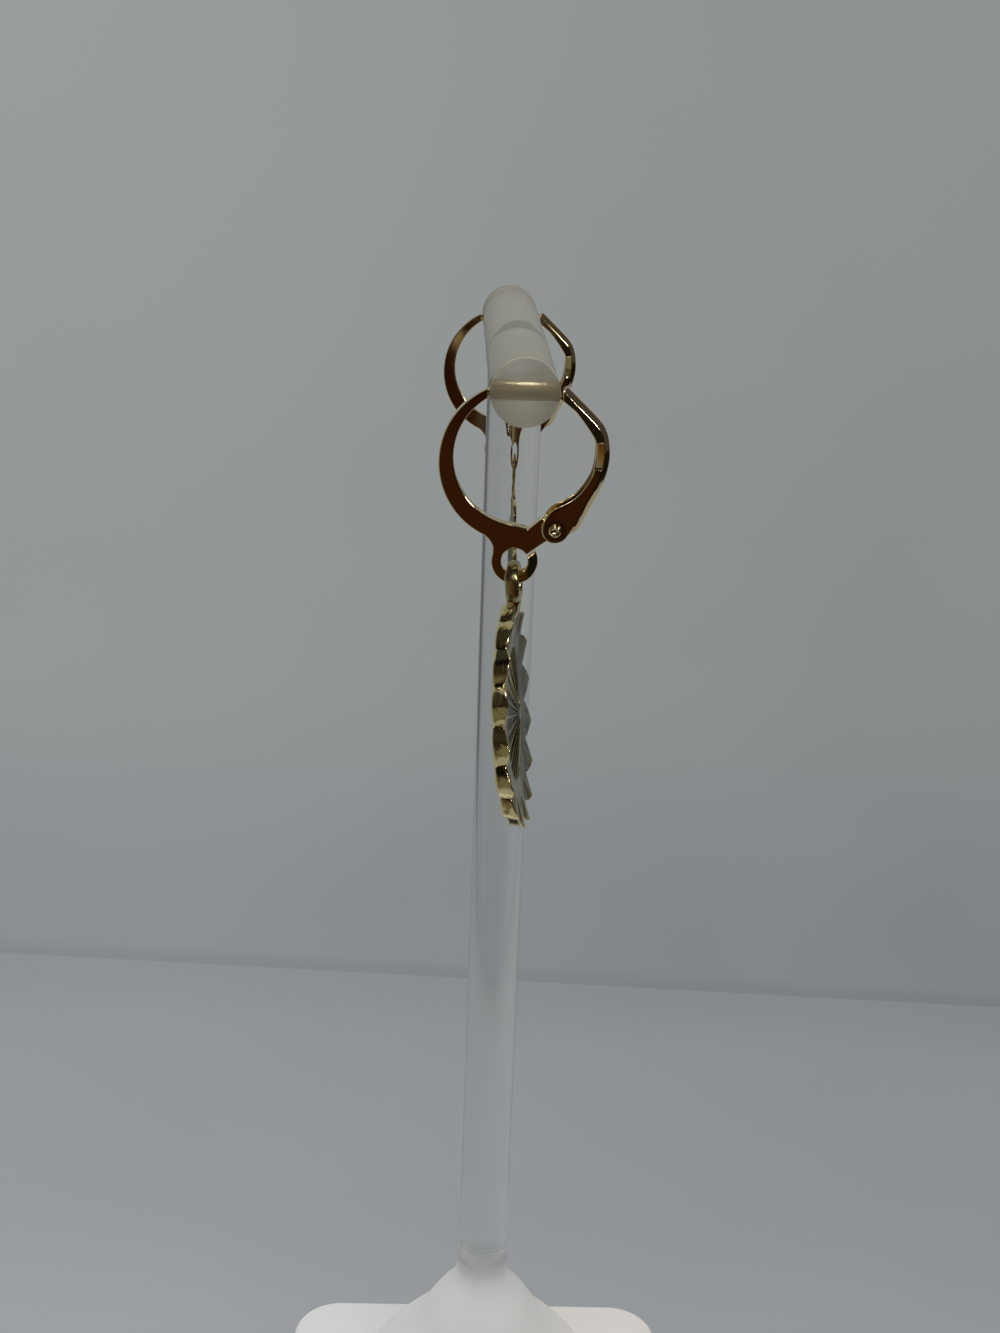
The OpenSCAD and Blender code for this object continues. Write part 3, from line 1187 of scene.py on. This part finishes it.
@dataclass
class Rivet:
    """Domed rivet that the clasp turns on."""

    pivot: Point
    head_r: float = 0.45
    head_h: float = 0.24
    head_fall: float = 0.8
    seat: float = 0.83
    skirt: float = 0.02
    shank_r: float = 0.33
    crown_r: float = 0.28
    crown_rings: tuple[float, ...] = (0.03, 0.25, 0.45, 0.62, 0.78, 0.88, 0.95)
    dimple: float = 0.1
    faces: int = 48

    def profile(self) -> list[Point]:
        """Draws one head from the middle of its dimple down to the shank.

        Returns:
            Pairs of radius and distance from the hoop's middle plane.
        """
        top = self.seat + self.head_h
        spots = [(self.crown_r * t, top - self.dimple * (1 - t * t)) for t in self.crown_rings]
        for a in np.radians(np.linspace(0.0, 90.0, 12)):
            spots.append((self.crown_r + (self.head_r - self.crown_r) * math.sin(a),
                          self.seat + self.head_h * math.cos(a) ** self.head_fall))
        return spots + [(self.head_r, self.seat - self.skirt), (self.shank_r, self.seat - self.skirt)]

    def build(self, side: Side, place: Matrix, finish: bpy.types.Material) -> bpy.types.Object:
        """Makes one rivet.

        Args:
            side: Which of the pair.
            place: The hoop's frame in the part.
            finish: The metal's material.

        Returns:
            The rivet's object.
        """
        turns = around(self.faces)
        head = self.profile()
        spots = head + [(r, -y) for r, y in reversed(head)]
        rows = [np.column_stack([self.pivot[0] + r * np.cos(turns), np.full(len(turns), -y),
                                 self.pivot[1] + r * np.sin(turns)]) for r, y in spots]
        shell = Shell()
        shell.closed_tube(rows)
        piece = shell.build(f"domed_rivet_{side.value}", place)
        piece.data.materials.append(finish)
        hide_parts(f"rivet_{side.value}")
        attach(piece, "stand")
        return piece


@dataclass
class Lever:
    """Folded clasp lever: a channel of two cheeks and a back, with a flat sunk at the bend."""

    half: float = 0.8
    cheek: float = 0.21
    back: float = 0.3
    corner: float = 0.4
    knee: float = 0.4
    bevel: tuple[Point, ...] = (
        (0.0, 0.50), (0.02, 0.45), (0.07, 0.39), (0.15, 0.29), (0.23, 0.19), (0.31, 0.10), (0.365, 0.04),
        (0.39, 0.018), (0.415, 0.006), (0.44, 0.001), (0.465, 0.0))
    lip: float = 0.1
    end_round: float = 0.06
    flare: float = 0.15
    flare_span: Point = (5.2, 7.2)
    lower_span: Point = (4.4, 6.5)
    upper_wide: float = 0.86
    lower_deep: float = 0.48
    sunk: float = 0.07
    sunk_lean: float = 0.29
    flat_span: Point = (-5.3, -3.2)
    flat_ramp: float = 0.16
    soft: float = 0.24
    normal_soft: float = 0.15
    crease: float = 32.0
    step: float = 0.05
    stations: tuple[tuple[float, float, float, float], ...] = (
        (2.82, 0.30, 2.57, -0.63), (3.34, -0.19, 2.95, -0.93), (3.86, -0.68, 3.40, -1.27),
        (4.45, -1.24, 3.85, -1.80), (5.05, -1.82, 4.28, -2.36), (5.48, -2.33, 4.62, -2.85),
        (5.75, -2.98, 4.86, -3.25), (5.86, -3.65, 4.93, -3.60), (5.89, -4.35, 4.92, -4.30),
        (5.80, -5.10, 4.88, -5.05), (5.60, -5.90, 4.70, -5.70), (5.28, -6.70, 4.36, -6.33),
        (4.96, -7.30, 3.88, -7.00), (4.75, -7.70, 3.28, -7.45), (4.60, -8.00, 2.62, -7.78),
        (4.48, -8.27, 2.10, -8.08), (4.38, -8.50, 1.74, -8.58), (4.28, -8.70, 1.47, -9.12),
        (4.20, -8.88, 1.50, -9.75), (4.13, -9.05, 1.85, -10.22), (4.07, -9.18, 2.40, -10.40),
        (4.03, -9.27, 2.95, -10.22), (4.00, -9.34, 3.30, -9.80))

    def section(self, reach: float, inset: float, wide: float, deep: float) -> np.ndarray:
        """Closed line round the channel's cut, as distance from the back and place across.

        Args:
            reach: Distance from the back's outside to the cheeks' edges.
            inset: How far the line is drawn in, to round the lever's ends.
            wide: Width of the bevel as a share of its full width.
            deep: Depth of the bevel as a share of its full depth.

        Returns:
            The points, counter-clockwise.
        """
        half, wall, lip = self.half, self.half - self.cheek, self.lip
        side = [(s * wide, half - depth * deep) for s, depth in self.bevel]
        side += [(s, half) for s in np.linspace(self.bevel[-1][0] * wide, reach - lip, 6)[1:]]
        side += arc((reach - lip, half - lip), lip, 72.0, 0.0, 5)
        side += arc((reach - lip, wall + lip), lip, 0.0, -90.0, 6)
        side += [(s, wall) for s in np.linspace(reach - lip, self.back + 0.1, 5)[1:]]
        side += [(self.back + 0.03, wall - 0.03), (self.back, wall - 0.1)]
        mirrored = [(s, -y) for s, y in reversed(side)]
        loop = np.array(side + mirrored)[::-1]
        if inset:
            loop = loop + inward(loop) * inset
        return loop

    def build(self, side: Side, place: Matrix, finish: bpy.types.Material) -> bpy.types.Object:
        """Makes one lever.

        Args:
            side: Which of the pair.
            place: The hoop's frame in the part.
            finish: The metal's material.

        Returns:
            The lever's object.
        """
        line = softened(evened(list(self.stations), self.step, False), self.soft, self.step, False)
        outer, inner = line[:, :2], line[:, 2:]
        normal = self.inwards(outer, inner)
        lengths = np.concatenate([[0.0], np.cumsum(np.linalg.norm(np.diff(outer, axis=0), axis=1))])
        rows = []
        for i, length in enumerate(lengths):
            from_end = min(length, lengths[-1] - length)
            inset = self.lip * (1 - math.sqrt(max(0.0, 1 - max(0.0, 1 - from_end / self.lip) ** 2)))
            flare = self.flare * float(1 - ramp(*self.flare_span, length))
            lower = float(ramp(*self.lower_span, length))
            wide = self.upper_wide + (1.0 - self.upper_wide) * lower
            deep = 1.0 - (1.0 - self.lower_deep) * lower
            reach = float(np.linalg.norm(inner[i] - outer[i]))
            loop = self.section(reach, min(inset, self.end_round), wide, deep)
            rows.append(self.row(outer[i], inner[i], normal[i], loop, flare))
        shell = Shell()
        shell.closed_tube(rows)
        piece = shell.build(f"clasp_lever_{side.value}", place, self.crease)
        piece.data.materials.append(finish)
        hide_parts(f"lever_{side.value}")
        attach(piece, f"lever_{side.value}")
        return piece

    def inwards(self, outer: np.ndarray, inner: np.ndarray) -> np.ndarray:
        """Directions from the back's outside towards the cheeks' edges.

        Args:
            outer: Points on the back's outside.
            inner: Points on the cheeks' edges.

        Returns:
            One unit direction for each point, smooth along the lever.
        """
        tangent = np.gradient(outer, axis=0)
        tangent /= np.linalg.norm(tangent, axis=1, keepdims=True)
        normal = np.column_stack([tangent[:, 1], -tangent[:, 0]])
        sign = np.sign(np.sum(normal * (inner - outer), axis=1, keepdims=True))
        normal = softened(normal * sign, self.normal_soft, self.step, False)
        return normal / np.linalg.norm(normal, axis=1, keepdims=True)

    def row(self, outer: np.ndarray, inner: np.ndarray, normal: np.ndarray, loop: np.ndarray,
            flare: float) -> np.ndarray:
        """Points of the channel's cut at one place along the lever.

        Args:
            outer: Point on the back's outside.
            inner: Point on the cheeks' edges.
            normal: Direction from the back's outside inwards.
            loop: Line round the channel's cut there.
            flare: How much closer together the cheeks are at the back than at their edges.

        Returns:
            The row's points in the hoop's frame.
        """
        reach = float(np.linalg.norm(inner - outer))
        bend = min(self.knee, 0.5 * reach)
        low, high = self.flat_span
        points = []
        for s, y in loop:
            if s <= bend:
                spot = outer + normal * s
            else:
                start = outer + normal * bend
                spot = start + (inner - start) * (s - bend) / (reach - bend)
            y *= 1.0 - flare / self.half * (1.0 - min(1.0, s / reach))
            if s > self.corner and abs(y) > self.half - self.lip - flare:
                share = float(ramp(low, low + self.flat_ramp, outer[1]))
                share *= float(ramp(high, high - self.flat_ramp, outer[1]))
                y = math.copysign(abs(y) - share * (self.sunk + self.sunk_lean * (s - self.corner)), y)
            points.append((spot[0], y, spot[1]))
        return np.array(points)


@dataclass
class Drop:
    """Cast medallion: keeled petals round a field of fine rays, hung by a bail."""

    petals: int = 16
    rays: int = 24
    tip_r: float = 8.07
    valley_r: float = 7.25
    back_tip_r: float = 7.86
    back_valley_r: float = 7.25
    tip_h: float = 0.565
    valley_h: float = 0.17
    valley_point: float = 0.3
    valley_curve: float = 2.2
    ridge_round: float = 0.06
    back_h: float = 0.7
    hub_r: float = 0.4
    hub_h: float = 0.56
    field_h: float = 0.1
    band_r: float = 5.0
    back_edge: float = 0.24
    centre: Triple = (-0.63, 0.0, -10.5)
    turn: float = 0.019
    lean: float = -0.0034
    bend: float = 0.0042
    ray_depth: float = 0.12
    ray_ridge: Point = (0.72, 1.0)
    ray_end: Point = (4.5, 4.8)
    petal_curve: float = 1.3
    petal_swell: float = 0.04
    vein_depth: float = 0.08
    vein_off: float = 0.45
    vein_wide: float = 0.1
    valley_wide: float = 0.16
    # Grime and painted shade over the relief field, darker towards the middle, with painted shade on the far
    # half and the rays' ridges lighter.
    field_grime_and_shade: float = 0.60
    inner_darkening: float = 0.12
    inner_span: Point = (3.5, 6.5)
    far_side_shade: float = 0.26
    side_span: Point = (0.0, 3.0)
    ridge_lighter: float = 0.12
    # Grime and painted shade in the petals' veins and valleys.
    vein_grime_and_shade: float = 0.7
    valley_grime_and_shade: float = 0.5
    per_petal: int = 28
    hub_rings: tuple[float, ...] = (0.05, 0.2, 0.4, 0.55, 0.65, 0.75, 0.85)
    field_start: float = 0.95
    back_rings: tuple[float, ...] = (5.2, 3.5, 1.8, 0.05)
    edge_r: float = 0.06
    edge_wider: float = 0.05
    # Grime and painted shade along the wall's creases at the valleys.
    crease_grime_and_shade: float = 0.75
    crease_wide: float = 0.07
    uneven: float = 0.07
    lump_scale: float = 1.7
    fine_scale: float = 6.0
    fine_share: float = 0.3
    # Painted dark reflections on the wall's bulges.
    lump_dark_reflection: float = 0.65
    # Painted dark reflections in bands across the wall at given heights, and how dark they are.
    band_dark_reflection: float = 0.95
    dark_reflection_bands: tuple[Point, ...] = ((5.8, 0.55), (-1.7, 0.35), (-6.6, 0.45))
    bail_r: float = 0.8
    bail_wire: float = 0.5
    bail_w: float = 0.85
    bail_wider: float = 0.16
    bail_drop: float = 1.12
    bail_shift: float = 0.06
    # How much the whole bail is darkened.
    bail_darkening: float = 0.45
    bail_faces: int = 96
    wire_faces: int = 32
    stem_faces: int = 48
    stem_stations: tuple[tuple[float, float, float, float], ...] = (
        (-1.86, -0.06, 0.48, 0.34), (-2.05, -0.09, 0.52, 0.40), (-2.3, -0.14, 0.54, 0.43),
        (-2.6, -0.22, 0.54, 0.43), (-2.9, -0.28, 0.52, 0.46), (-3.2, -0.33, 0.46, 0.52),
        (-3.5, -0.40, 0.38, 0.55), (-3.8, -0.48, 0.28, 0.5))
    crease: float = 50.0

    def off_ridge(self, turn: np.ndarray) -> np.ndarray:
        """How far each angle lies from a petal's ridge, from 0 to 1 in a valley."""
        phase = (turn * self.petals / (2 * math.pi)) % 1.0
        return 2 * np.minimum(phase, 1 - phase)

    def rim(self, turn: np.ndarray) -> tuple[np.ndarray, np.ndarray, np.ndarray]:
        """Edge of the petals, which the valleys cut deeper in front than behind.

        Args:
            turn: Angles in radians from the top.

        Returns:
            Radius in front, radius behind and relief height at each angle.
        """
        off = self.off_ridge(turn)
        cut = self.valley_point * off + (1.0 - self.valley_point) * off ** self.valley_curve
        front = self.tip_r - (self.tip_r - self.valley_r) * cut
        behind = self.back_tip_r - (self.back_tip_r - self.back_valley_r) * cut
        soft = self.ridge_round
        up = 1 - (np.hypot(off, soft) - soft) / (math.hypot(1.0, soft) - soft)
        return front, behind, self.valley_h + (self.tip_h - self.valley_h) * up

    def relief(self, r: np.ndarray, turn: np.ndarray) -> tuple[np.ndarray, np.ndarray]:
        """Height of the relief side, and how dark each point is painted, for grime and painted shade.

        Args:
            r: Distances from the middle.
            turn: Angles in radians from the top.

        Returns:
            Heights above the disc's middle plane, and darkening from 0 to 1 for grime and painted shade.
        """
        rim_r, _, rim_h = self.rim(turn)
        off = self.off_ridge(turn)
        ridge = ramp(*self.ray_ridge, 0.5 + 0.5 * np.cos(turn * self.rays))
        rays = ramp(self.hub_r, self.hub_r + 0.5, r) * (1 - ramp(*self.ray_end, r))
        cone = np.clip((r - self.hub_r) / (self.band_r - self.hub_r), 0.0, 1.0)
        height = self.hub_h + (self.field_h - self.hub_h) * cone
        height = height - self.ray_depth * (1 - ridge) * rays
        share = np.clip((r - self.band_r) / (rim_r - self.band_r), 0.0, 1.0)
        petal = self.field_h + (rim_h - self.field_h) * share ** self.petal_curve
        petal = petal + self.petal_swell * np.sin(share * math.pi)
        height = np.where(r > self.band_r, petal, height)
        veins = np.exp(-((off - self.vein_off) / self.vein_wide) ** 2)
        veins *= ramp(0.3, 0.5, share) * (1 - ramp(0.86, 0.98, share))
        height = height - self.vein_depth * veins
        valley = np.exp(-((1 - off) / self.valley_wide) ** 2) * ramp(0.2, 0.7, share)
        # Grime and painted shade over the field, darker towards the middle.
        grime_and_shade = self.field_grime_and_shade + self.inner_darkening * (1 - ramp(*self.inner_span, r))
        # Painted shade on the far half of the disc.
        grime_and_shade = grime_and_shade + self.far_side_shade * ramp(*self.side_span, r * np.sin(turn))
        # Painted shade in the grooves between the rays, lighter on their ridges.
        grime_and_shade = grime_and_shade - self.ridge_lighter * ridge * rays + (1 - ridge) * rays
        # Grime and painted shade in the veins and valleys of the petals.
        grime_and_shade = grime_and_shade + self.vein_grime_and_shade * veins + self.valley_grime_and_shade * valley
        return height, np.clip(grime_and_shade, 0.0, 1.0)

    def placed(self, turn: np.ndarray, r: np.ndarray, height: np.ndarray, mark: np.ndarray | float,
               rough: float = 0.0) -> tuple[np.ndarray, np.ndarray]:
        """Places one row round the disc, with the cast metal's unevenness and painted dark reflections on
        the uneven wall.

        Args:
            turn: Angles in radians from the top.
            r: Distances from the middle.
            height: Heights above the disc's middle plane.
            mark: How dark each point is painted, from 0 to 1, for grime and painted shade.
            rough: How far the metal is uneven there.

        Returns:
            The row's points and their marks.
        """
        y, z = r * np.sin(turn), r * np.cos(turn)
        if rough:
            broad = lumps(height, y, z, self.lump_scale)
            out = rough * (broad + self.fine_share * lumps(height, y, z, self.fine_scale))
            y, z = y + out * np.sin(turn), z + out * np.cos(turn)
            # Painted dark reflections where the wall bulges out.
            mark = np.clip(mark + self.lump_dark_reflection * ramp(0.02, 0.45, broad), 0.0, 1.0)
            # Painted dark reflections in bands across the wall.
            for middle, wide in self.dark_reflection_bands:
                off = np.abs(z - middle) / wide
                mark = np.maximum(mark, self.band_dark_reflection * (1 - ramp(0.6, 1.3, off)))
        shift = self.turn * -y + self.lean * z + self.bend * z * z
        row = np.column_stack([self.centre[0] + height + shift, y, self.centre[2] + z])
        return row, np.broadcast_to(mark, len(turn))

    def medallion(self, shell: Shell) -> None:
        """Adds the disc with its relief, rim and back.

        Args:
            shell: Shell that the disc is added to.
        """
        turn = around(self.petals * self.per_petal)
        front, behind, _ = self.rim(turn)
        edge = self.edge_r + self.edge_wider * self.off_ridge(turn)
        top, _ = self.relief(front - edge, turn)
        low = self.back_edge - self.back_h
        even = np.ones(len(turn))
        radii = [r * even for r in (*self.hub_rings, *np.linspace(self.field_start, self.band_r, 36))]
        petal = front - edge - self.band_r
        radii += [self.band_r + petal * share for share in np.linspace(0.0, 1.0, 26)[1:]]
        rows = [self.placed(turn, r, *self.relief(r, turn)) for r in radii]
        for a in np.radians((22.5, 45.0, 67.5, 90.0)):
            inset, depth = edge * (1 - math.sin(a)), edge * (1 - math.cos(a))
            rows.append(self.placed(turn, front - inset, top - depth, 0.0))
        # Grime and painted shade along the wall's creases at the valleys.
        crease = self.crease_grime_and_shade * np.exp(-((1 - self.off_ridge(turn)) / self.crease_wide) ** 2)
        for share in np.linspace(0.0, 1.0, 13)[1:]:
            out = front + (behind - front) * share ** 0.8
            height = (top - edge) * (1 - share) + low * share
            rough = self.uneven * math.sin(share * math.pi) ** 0.5
            rows.append(self.placed(turn, out, height, crease, rough))
        for a in np.radians((15.0, 30.0, 45.0, 60.0, 75.0, 90.0)):
            inset, depth = self.back_edge * (1 - math.cos(a)), self.back_edge * math.sin(a)
            rows.append(self.placed(turn, behind - inset, (low - depth) * even, 0.0))
        radii = [(behind - self.back_edge) * share for share in (0.97, 0.9, 0.8)]
        radii += [r * even for r in self.back_rings]
        rows += [self.placed(turn, r, -self.back_h * even, 0.0) for r in radii]
        shell.closed_tube([row for row, _ in rows], np.concatenate([marks for _, marks in rows]))

    def bail(self, shell: Shell) -> None:
        """Adds the round loop that hangs in the hoop's ring.

        Args:
            shell: Shell that the loop is added to.
        """
        middle = self.bail_r + self.bail_wire / 2
        cut = [(powered(math.sin(a), 0.9) * self.bail_wire / 2, powered(math.cos(a), 0.5) * self.bail_w / 2)
               for a in around(self.wire_faces)]
        rows = []
        for turn in around(self.bail_faces):
            up, out = math.cos(turn), math.sin(turn)
            lower = float(ramp(0.75, 0.4, up))
            wider = 1.0 + self.bail_wider * lower
            out = powered(out, 0.5 if up < 0 else 0.7)
            if up < 0:
                up = self.bail_drop * powered(up, 0.6)
            rows.append(np.array([(x * wider - self.bail_shift * lower, (middle + s) * out,
                                   -self.bail_r + (middle + s) * up) for s, x in cut]))
        # Darkens the whole bail.
        shell.add(rows, np.full(len(rows) * len(cut), self.bail_darkening), True)

    def stem(self, shell: Shell) -> None:
        """Adds the stem between the bail and the top petal.

        Args:
            shell: Shell that the stem is added to.
        """
        turns = around(self.stem_faces)
        rows = []
        for z, x, thick, wide in self.stem_stations:
            rows.append(np.column_stack([x + thick * powered(np.cos(turns), 0.8),
                                         wide * powered(np.sin(turns), 0.8), np.full(len(turns), z)]))
        shell.closed_tube(rows)

    def build(self, side: Side, place: Matrix, finish: bpy.types.Material) -> bpy.types.Object:
        """Makes one drop.

        Args:
            side: Which of the pair.
            place: The drop's frame in the part.
            finish: The metal's material.

        Returns:
            The drop's object.
        """
        shell = Shell()
        self.medallion(shell)
        self.bail(shell)
        self.stem(shell)
        piece = shell.build(f"medallion_drop_{side.value}", place, self.crease)
        piece.data.materials.append(finish)
        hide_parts(f"drop_{side.value}")
        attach(piece, f"drop_{side.value}")
        return piece


@dataclass
class Earring:
    """One huggie with everything that hangs on it."""

    side: Side
    bar_h: float
    hole_y: float
    plate: bpy.types.Material
    lever: bpy.types.Material
    cast: bpy.types.Material
    hang: Point = (-0.26, -12.3745)
    turn: float = -7.6
    lean: float = -5.0

    def build(self) -> list[bpy.types.Object]:
        """Builds the hoop, its rivet and lever, and the drop.

        Returns:
            The four pieces.
        """
        place = Matrix.Translation((0.0, self.side.sign * self.hole_y, self.bar_h))
        hung = place @ Matrix.Translation((self.hang[0], 0.0, self.hang[1]))
        hung = hung @ Matrix.Rotation(math.radians(self.turn), 4, "Z")
        hung = hung @ Matrix.Rotation(math.radians(self.lean), 4, "Y")
        hoop = Hoop()
        return [hoop.build(self.side, place, self.plate),
                Rivet(hoop.pivot).build(self.side, place, self.plate),
                Lever().build(self.side, place, self.lever),
                Drop().build(self.side, hung, self.cast)]


# The photo's room and camera


@dataclass(frozen=True)
class Lamp:
    """Square soft light that faces the hanging earrings."""

    name: str
    place: Triple
    width: float
    power: float
    tone: Triple
    mirrored: bool = True
    aim: Triple = (0.0, 0.0, 90.0)

    def build(self) -> None:
        """Puts the light in its place."""
        light = bpy.data.lights.new(self.name, "AREA")
        light.size = self.width * MM
        light.energy = self.power
        light.color = self.tone
        lamp = bpy.data.objects.new(self.name, light)
        lamp.location = Vector(self.place) * MM
        towards = Vector(self.aim) * MM - lamp.location
        lamp.rotation_euler = towards.to_track_quat("-Z", "Y").to_euler()
        lamp.visible_glossy = self.mirrored
        bpy.context.scene.collection.objects.link(lamp)


@dataclass
class Studio:
    """Grey paper under and behind the stand, with soft light from above."""

    seam_y: float = 98.0
    seam_turn: float = -4.0
    reach: float = 900.0
    front: float = 90.0
    height: float = 700.0
    lamps: tuple[Lamp, ...] = (
        Lamp("top_light", (-20.0, -20.0, 560.0), 160.0, 2.2, (1.0, 0.99, 0.97), mirrored=False),
        Lamp("camera_light", (10.0, -300.0, 215.0), 36.0, 0.10, (1.0, 0.95, 0.85)),
        Lamp("right_light", (256.0, -404.0, 218.0), 60.0, 0.4, (1.0, 0.98, 0.92)),
        Lamp("high_light", (10.0, 40.0, 520.0), 90.0, 0.6, (1.0, 0.98, 0.94)))

    @staticmethod
    def sheet(name: str, corners: list[Triple], finish: PaperFinish) -> None:
        """Lays out one flat sheet of paper.

        Args:
            name: Name of the sheet.
            corners: Its corners in millimetres.
            finish: Its finish.
        """
        mesh = bpy.data.meshes.new(name)
        mesh.from_pydata([tuple(v * MM for v in corner) for corner in corners], [], [(0, 1, 2, 3)])
        mesh.materials.append(finish.make())
        sheet = bpy.data.objects.new(name, mesh)
        bpy.context.scene.collection.objects.link(sheet)

    def build(self) -> None:
        """Lays out the paper, the room's light and the lamps."""
        r, front = self.reach, -self.front
        rise = math.tan(math.radians(self.seam_turn))
        left, right = self.seam_y - rise * r, self.seam_y + rise * r
        self.sheet("floor_paper", [(-r, front, 0.0), (r, front, 0.0), (r, right, 0.0), (-r, left, 0.0)],
                   PaperFinish("floor paper", Axis.Y, span=(0.014, 0.045, 0.095), near_left=(153, 157, 160),
                               near_right=(140, 144, 148), far_left=(139, 144, 146),
                               far_right=(127, 133, 135), fold=self.seam_y * MM, fold_reach=-0.020,
                               fold_slope=-rise, past_span=(0.15, 0.26), strength=0.9, lit=True))
        self.sheet("back_paper", [(-r, left, 0.0), (r, right, 0.0), (r, right, self.height),
                                  (-r, left, self.height)],
                   PaperFinish("back paper", Axis.Z, span=(0.010, 0.050, 0.135), near_left=(137, 142, 145),
                               near_right=(126, 131, 134), far_left=(152, 156, 154),
                               far_right=(139, 143, 142), one_sided=True))
        bpy.context.scene.world = RoomLight().make()
        for lamp in self.lamps:
            lamp.build()


@dataclass
class PhotoCamera:
    """Camera fitted to the photo."""

    place: Triple = (-4.825, -142.2, 125.4)
    pitch: float = 17.97
    yaw: float = 1.80
    roll: float = -2.10
    focal_px: float = 1850.0
    height_px: float = 1333.0
    sensor: float = 36.0
    clip: Point = (0.005, 10.0)

    def build(self) -> None:
        """Places the camera and picks the colour view."""
        pitch, yaw, roll = (math.radians(v) for v in (self.pitch, self.yaw, self.roll))
        ahead = Vector((math.sin(yaw) * math.cos(pitch), math.cos(yaw) * math.cos(pitch), -math.sin(pitch)))
        level = Vector((math.cos(yaw), -math.sin(yaw), 0.0))
        down = ahead.cross(level)
        right = level * math.cos(roll) + down * math.sin(roll)
        below = down * math.cos(roll) - level * math.sin(roll)
        turn = Matrix((right, -below, -ahead)).transposed().to_4x4()
        lens = bpy.data.cameras.new("photo_camera")
        lens.sensor_fit = "AUTO"
        lens.sensor_width = self.sensor
        lens.lens = self.sensor * self.focal_px / self.height_px
        lens.clip_start, lens.clip_end = self.clip
        lens.dof.use_dof = False
        camera = bpy.data.objects.new("photo_camera", lens)
        camera.matrix_world = Matrix.Translation(Vector(self.place) * MM) @ turn
        bpy.context.scene.collection.objects.link(camera)
        bpy.context.scene.camera = camera
        bpy.context.scene.view_settings.view_transform = "Standard"


def main() -> None:
    """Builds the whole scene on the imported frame."""
    logging.basicConfig(level=logging.INFO, format="%(message)s", stream=sys.stdout)
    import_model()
    PhotoCamera().build()
    Studio().build()
    stand = Stand(AcrylicFinish("clear acrylic").make())
    pieces = [stand.build()]
    plate = GoldFinish("gold plate", grain=0.05).make()
    # The lever's finish carries painted shade round the rivet.
    lever = GoldFinish("lever gold", grain=0.08, rivet_shade=0.6).make()
    cast = GoldFinish("cast gold", tone=(0.84, 0.72, 0.38), cloud=(0.76, 0.63, 0.29), roughness=0.12,
                      cloud_dull=0.12, scratched=0.1, grain=0.5, relief_lift=0.65).make()
    for side in Side:
        pieces += Earring(side, stand.bar_h, stand.hole_y, plate, lever, cast).build()
    for piece in pieces:
        LOG.info("%s: %d faces", piece.name, len(piece.data.polygons))


if __name__ == "__main__":
    main()
